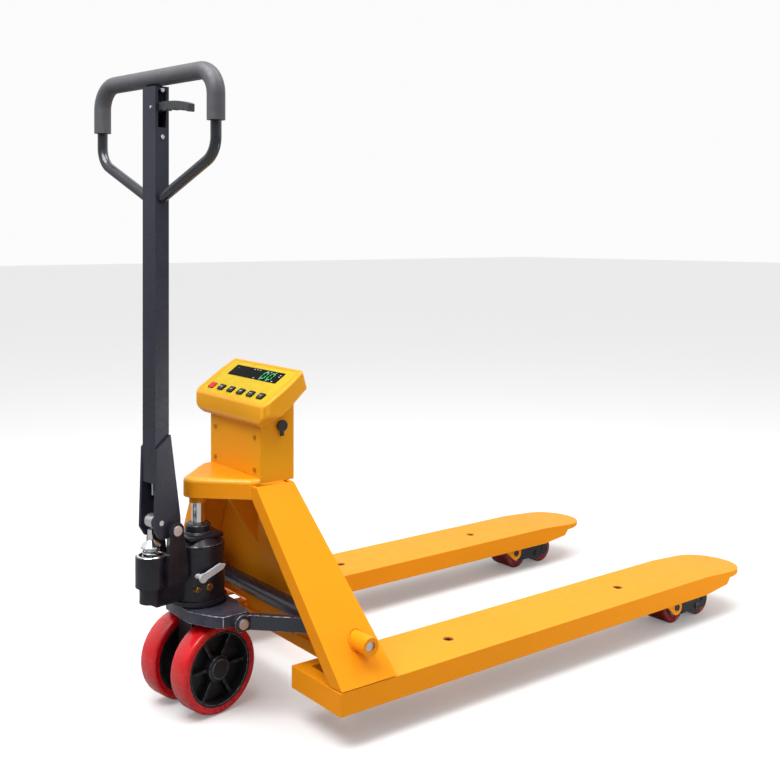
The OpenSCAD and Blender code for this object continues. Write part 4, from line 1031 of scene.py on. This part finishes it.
class TRUCK_OT_steering_wheels(Build, bpy.types.Operator):
    """Steering wheels and their axle"""

    bl_idname = "truck.steering_wheels"
    bl_label = "Steering wheels"

    def execute(self, context):
        edges = setting("truck_edges")
        for side in ("left", "right"):
            softened(f"steer_tyre_{side}", "polyurethane_red", "polyurethane_red", edges.sheet)
            softened(f"steer_hub_{side}", "hub_casting", "pump_edge", edges.casting * 0.7)
        softened("wheel_axle", "zinc", "zinc", edges.sheet)
        return {"FINISHED"}


class TRUCK_OT_handle(Build, bpy.types.Operator):
    """Handle tube, loop, grip and control lever"""

    bl_idname = "truck.handle"
    bl_label = "Handle"

    def execute(self, context):
        edges = setting("truck_edges")
        softened("handle_tube", "handle_paint", "handle_edge", edges.casting)
        dress("handle_loop", "loop_paint")
        dress("handle_grip", "grip_rubber")
        softened("control_lever", "lever_plastic", "lever_plastic", edges.casting)
        for node in ("roller_pin", "handle_bolts", "cam_roller", "release_rod"):
            softened(node, "bright_pin", "bright_pin", edges.sheet * 0.6)
        return {"FINISHED"}


class TRUCK_OT_linkage(Build, bpy.types.Operator):
    """Rocker, push rods, wheel levers, bogies and load rollers"""

    bl_idname = "truck.linkage"
    bl_label = "Lift linkage"

    def execute(self, context):
        edges = setting("truck_edges")
        softened("rocker_arms", "linkage_paint", "linkage_edge", edges.casting * 1.8)
        softened("rocker_shaft", "bright_pin", "bright_pin", edges.sheet)
        for side in ("left", "right"):
            for node, paint in (("push_rod", "linkage"), ("wheel_lever", "lever"), ("bogie", "lever")):
                softened(f"{node}_{side}", f"{paint}_paint", f"{paint}_edge", edges.sheet)
            for place in ("back", "front"):
                softened(f"roller_{place}_{side}", "roller_red", "roller_red", edges.sheet)
                self.bearings(f"roller_{place}_{side}")
        return {"FINISHED"}

    def bearings(self, roller):
        """Bearing shields in both faces of a load roller."""
        low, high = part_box(roller)
        profile = [(0.0083, -0.001), (0.0083, 0.0011), (0.0108, 0.0011), (0.0112, 0.0004),
                   (0.0146, 0.0004), (0.015, 0.0011), (0.0172, 0.0011), (0.0176, -0.001)]
        for name, y, way in (("right", low.y, -1), ("left", high.y, 1)):
            turned(f"{roller}_shield_{name}", profile, ((low.x + high.x) / 2, y, (low.z + high.z) / 2),
                   (0, way, 0), "zinc", roller)


class TRUCK_OT_stage(Build, bpy.types.Operator):
    """Floor, lights and camera"""

    bl_idname = "truck.stage"
    bl_label = "Stage"

    def execute(self, context):
        stage = setting("truck_stage")
        scene = context.scene
        scene.view_settings.view_transform = "Standard"
        self.floor(stage)
        self.lights(stage)
        camera = bpy.data.cameras.new("Camera")
        camera.lens, camera.sensor_width, camera.shift_y = stage.lens, 36.0, stage.shift
        holder = bpy.data.objects.new("Camera", camera)
        holder.location = stage.camera
        holder.rotation_euler = (math.radians(90), 0, stage.heading)
        scene.collection.objects.link(holder)
        scene.camera = holder
        return {"FINISHED"}

    def floor(self, stage):
        """A wide pale floor."""
        bm = bmesh.new()
        bmesh.ops.create_grid(bm, x_segments=8, y_segments=8, size=30.0)
        bmesh.ops.translate(bm, verts=bm.verts, vec=(0, 0, CAD_BOX[0].z - 0.0005))
        mesh = bpy.data.meshes.new("floor")
        bm.to_mesh(mesh)
        bm.free()
        f = Finish("floor")
        # The floor looks pale, but throws back less light than it shows
        near = f.mix(f.noise(1.5), shade(tuple(stage.floor), 0.99), tuple(stage.floor))
        direct = f.nodes.new("ShaderNodeLightPath").outputs["Is Camera Ray"]
        f.paint(f.mix(direct, shade(tuple(stage.floor), stage.bounce), near))
        f.links.new(f.spread(direct, 0.0, 0.18, 0.0, 1.0), f.shader.inputs["Emission Strength"])
        f.set(Roughness=0.9, Emission_Color=(1.0, 1.0, 1.0))
        mesh.materials.append(f.material)
        floor = bpy.data.objects.new("floor", mesh)
        bpy.context.scene.collection.objects.link(floor)

    def lights(self, stage):
        """A key from above, a fill over the handle, a low side light and a fading sky."""
        world = bpy.data.worlds.new("Studio")
        world.use_nodes = True
        nodes, links = world.node_tree.nodes, world.node_tree.links
        soft = nodes["Background"]
        soft.inputs["Color"].default_value = (1, 1, 1, 1)
        # The sky is brightest above and in front of the truck, and dim behind the operator
        way = nodes.new("ShaderNodeTexCoord").outputs["Generated"]
        toward = nodes.new("ShaderNodeVectorMath")
        toward.operation = "DOT_PRODUCT"
        toward.inputs[1].default_value = (0.45, 0.40, 0.80)
        links.new(way, toward.inputs[0])
        fade = nodes.new("ShaderNodeMapRange")
        for key, value in (("From Min", -0.45), ("From Max", 0.5), ("To Min", 0.15), ("To Max", 1.0)):
            fade.inputs[key].default_value = value * (stage.sky if key.startswith("To") else 1)
        links.new(toward.outputs["Value"], fade.inputs["Value"])
        links.new(fade.outputs["Result"], soft.inputs["Strength"])
        backdrop = nodes.new("ShaderNodeBackground")
        backdrop.inputs["Color"].default_value = (0.97, 0.97, 0.97, 1)
        seen_by = nodes.new("ShaderNodeLightPath")
        choose = nodes.new("ShaderNodeMixShader")
        links.new(seen_by.outputs["Is Camera Ray"], choose.inputs["Fac"])
        links.new(soft.outputs["Background"], choose.inputs[1])
        links.new(backdrop.outputs["Background"], choose.inputs[2])
        links.new(choose.outputs["Shader"], nodes["World Output"].inputs["Surface"])
        bpy.context.scene.world = world
        for name, place, size, power in (
            ("Key", (0.6, -0.8, 3.4), 1.8, stage.key),
            ("Fill", (-1.4, -0.3, 2.4), 1.6, stage.fill),
            ("Side", (0.9, -1.25, 0.2), 0.7, stage.side),
        ):
            data = bpy.data.lights.new(name, "AREA")
            data.shape, data.size, data.energy = "DISK", size, power
            light = bpy.data.objects.new(name, data)
            light.location = place
            light.visible_camera = False
            aim = Vector((0, 0, 0.35)) - Vector(place)
            light.rotation_euler = aim.to_track_quat("-Z", "Y").to_euler()
            bpy.context.scene.collection.objects.link(light)


OPERATORS = (
    TRUCK_OT_stage, TRUCK_OT_forks, TRUCK_OT_chassis, TRUCK_OT_indicator, TRUCK_OT_pump,
    TRUCK_OT_steering_wheels, TRUCK_OT_handle, TRUCK_OT_linkage,
)


class TRUCK_PT_panel(bpy.types.Panel):
    """Lists the builders and their settings"""

    bl_idname = "TRUCK_PT_panel"
    bl_label = "Pallet Scale"
    bl_space_type = "VIEW_3D"
    bl_region_type = "UI"
    bl_category = "Pallet Scale"

    def draw(self, context):
        for operator in OPERATORS:
            self.layout.operator(operator.bl_idname)
        for group, kind in GROUPS.items():
            box = self.layout.box()
            box.label(text=kind.__doc__)
            for key in kind.__annotations__:
                box.prop(getattr(context.scene, group), key)


def register():
    for kind in (*GROUPS.values(), *OPERATORS, TRUCK_PT_panel):
        bpy.utils.register_class(kind)
    for group, kind in GROUPS.items():
        setattr(bpy.types.Scene, group, bpy.props.PointerProperty(type=kind))


def unregister():
    for group in GROUPS:
        delattr(bpy.types.Scene, group)
    for kind in reversed((*GROUPS.values(), *OPERATORS, TRUCK_PT_panel)):
        bpy.utils.unregister_class(kind)


def main():
    """Builds the whole truck."""
    register()
    for name in ("Cube", "Light", "Camera"):
        if name in bpy.data.objects:
            bpy.data.objects.remove(bpy.data.objects[name])
    for operator in OPERATORS:
        getattr(bpy.ops.truck, operator.bl_idname.split(".")[1])()


if __name__ == "__main__":
    main()
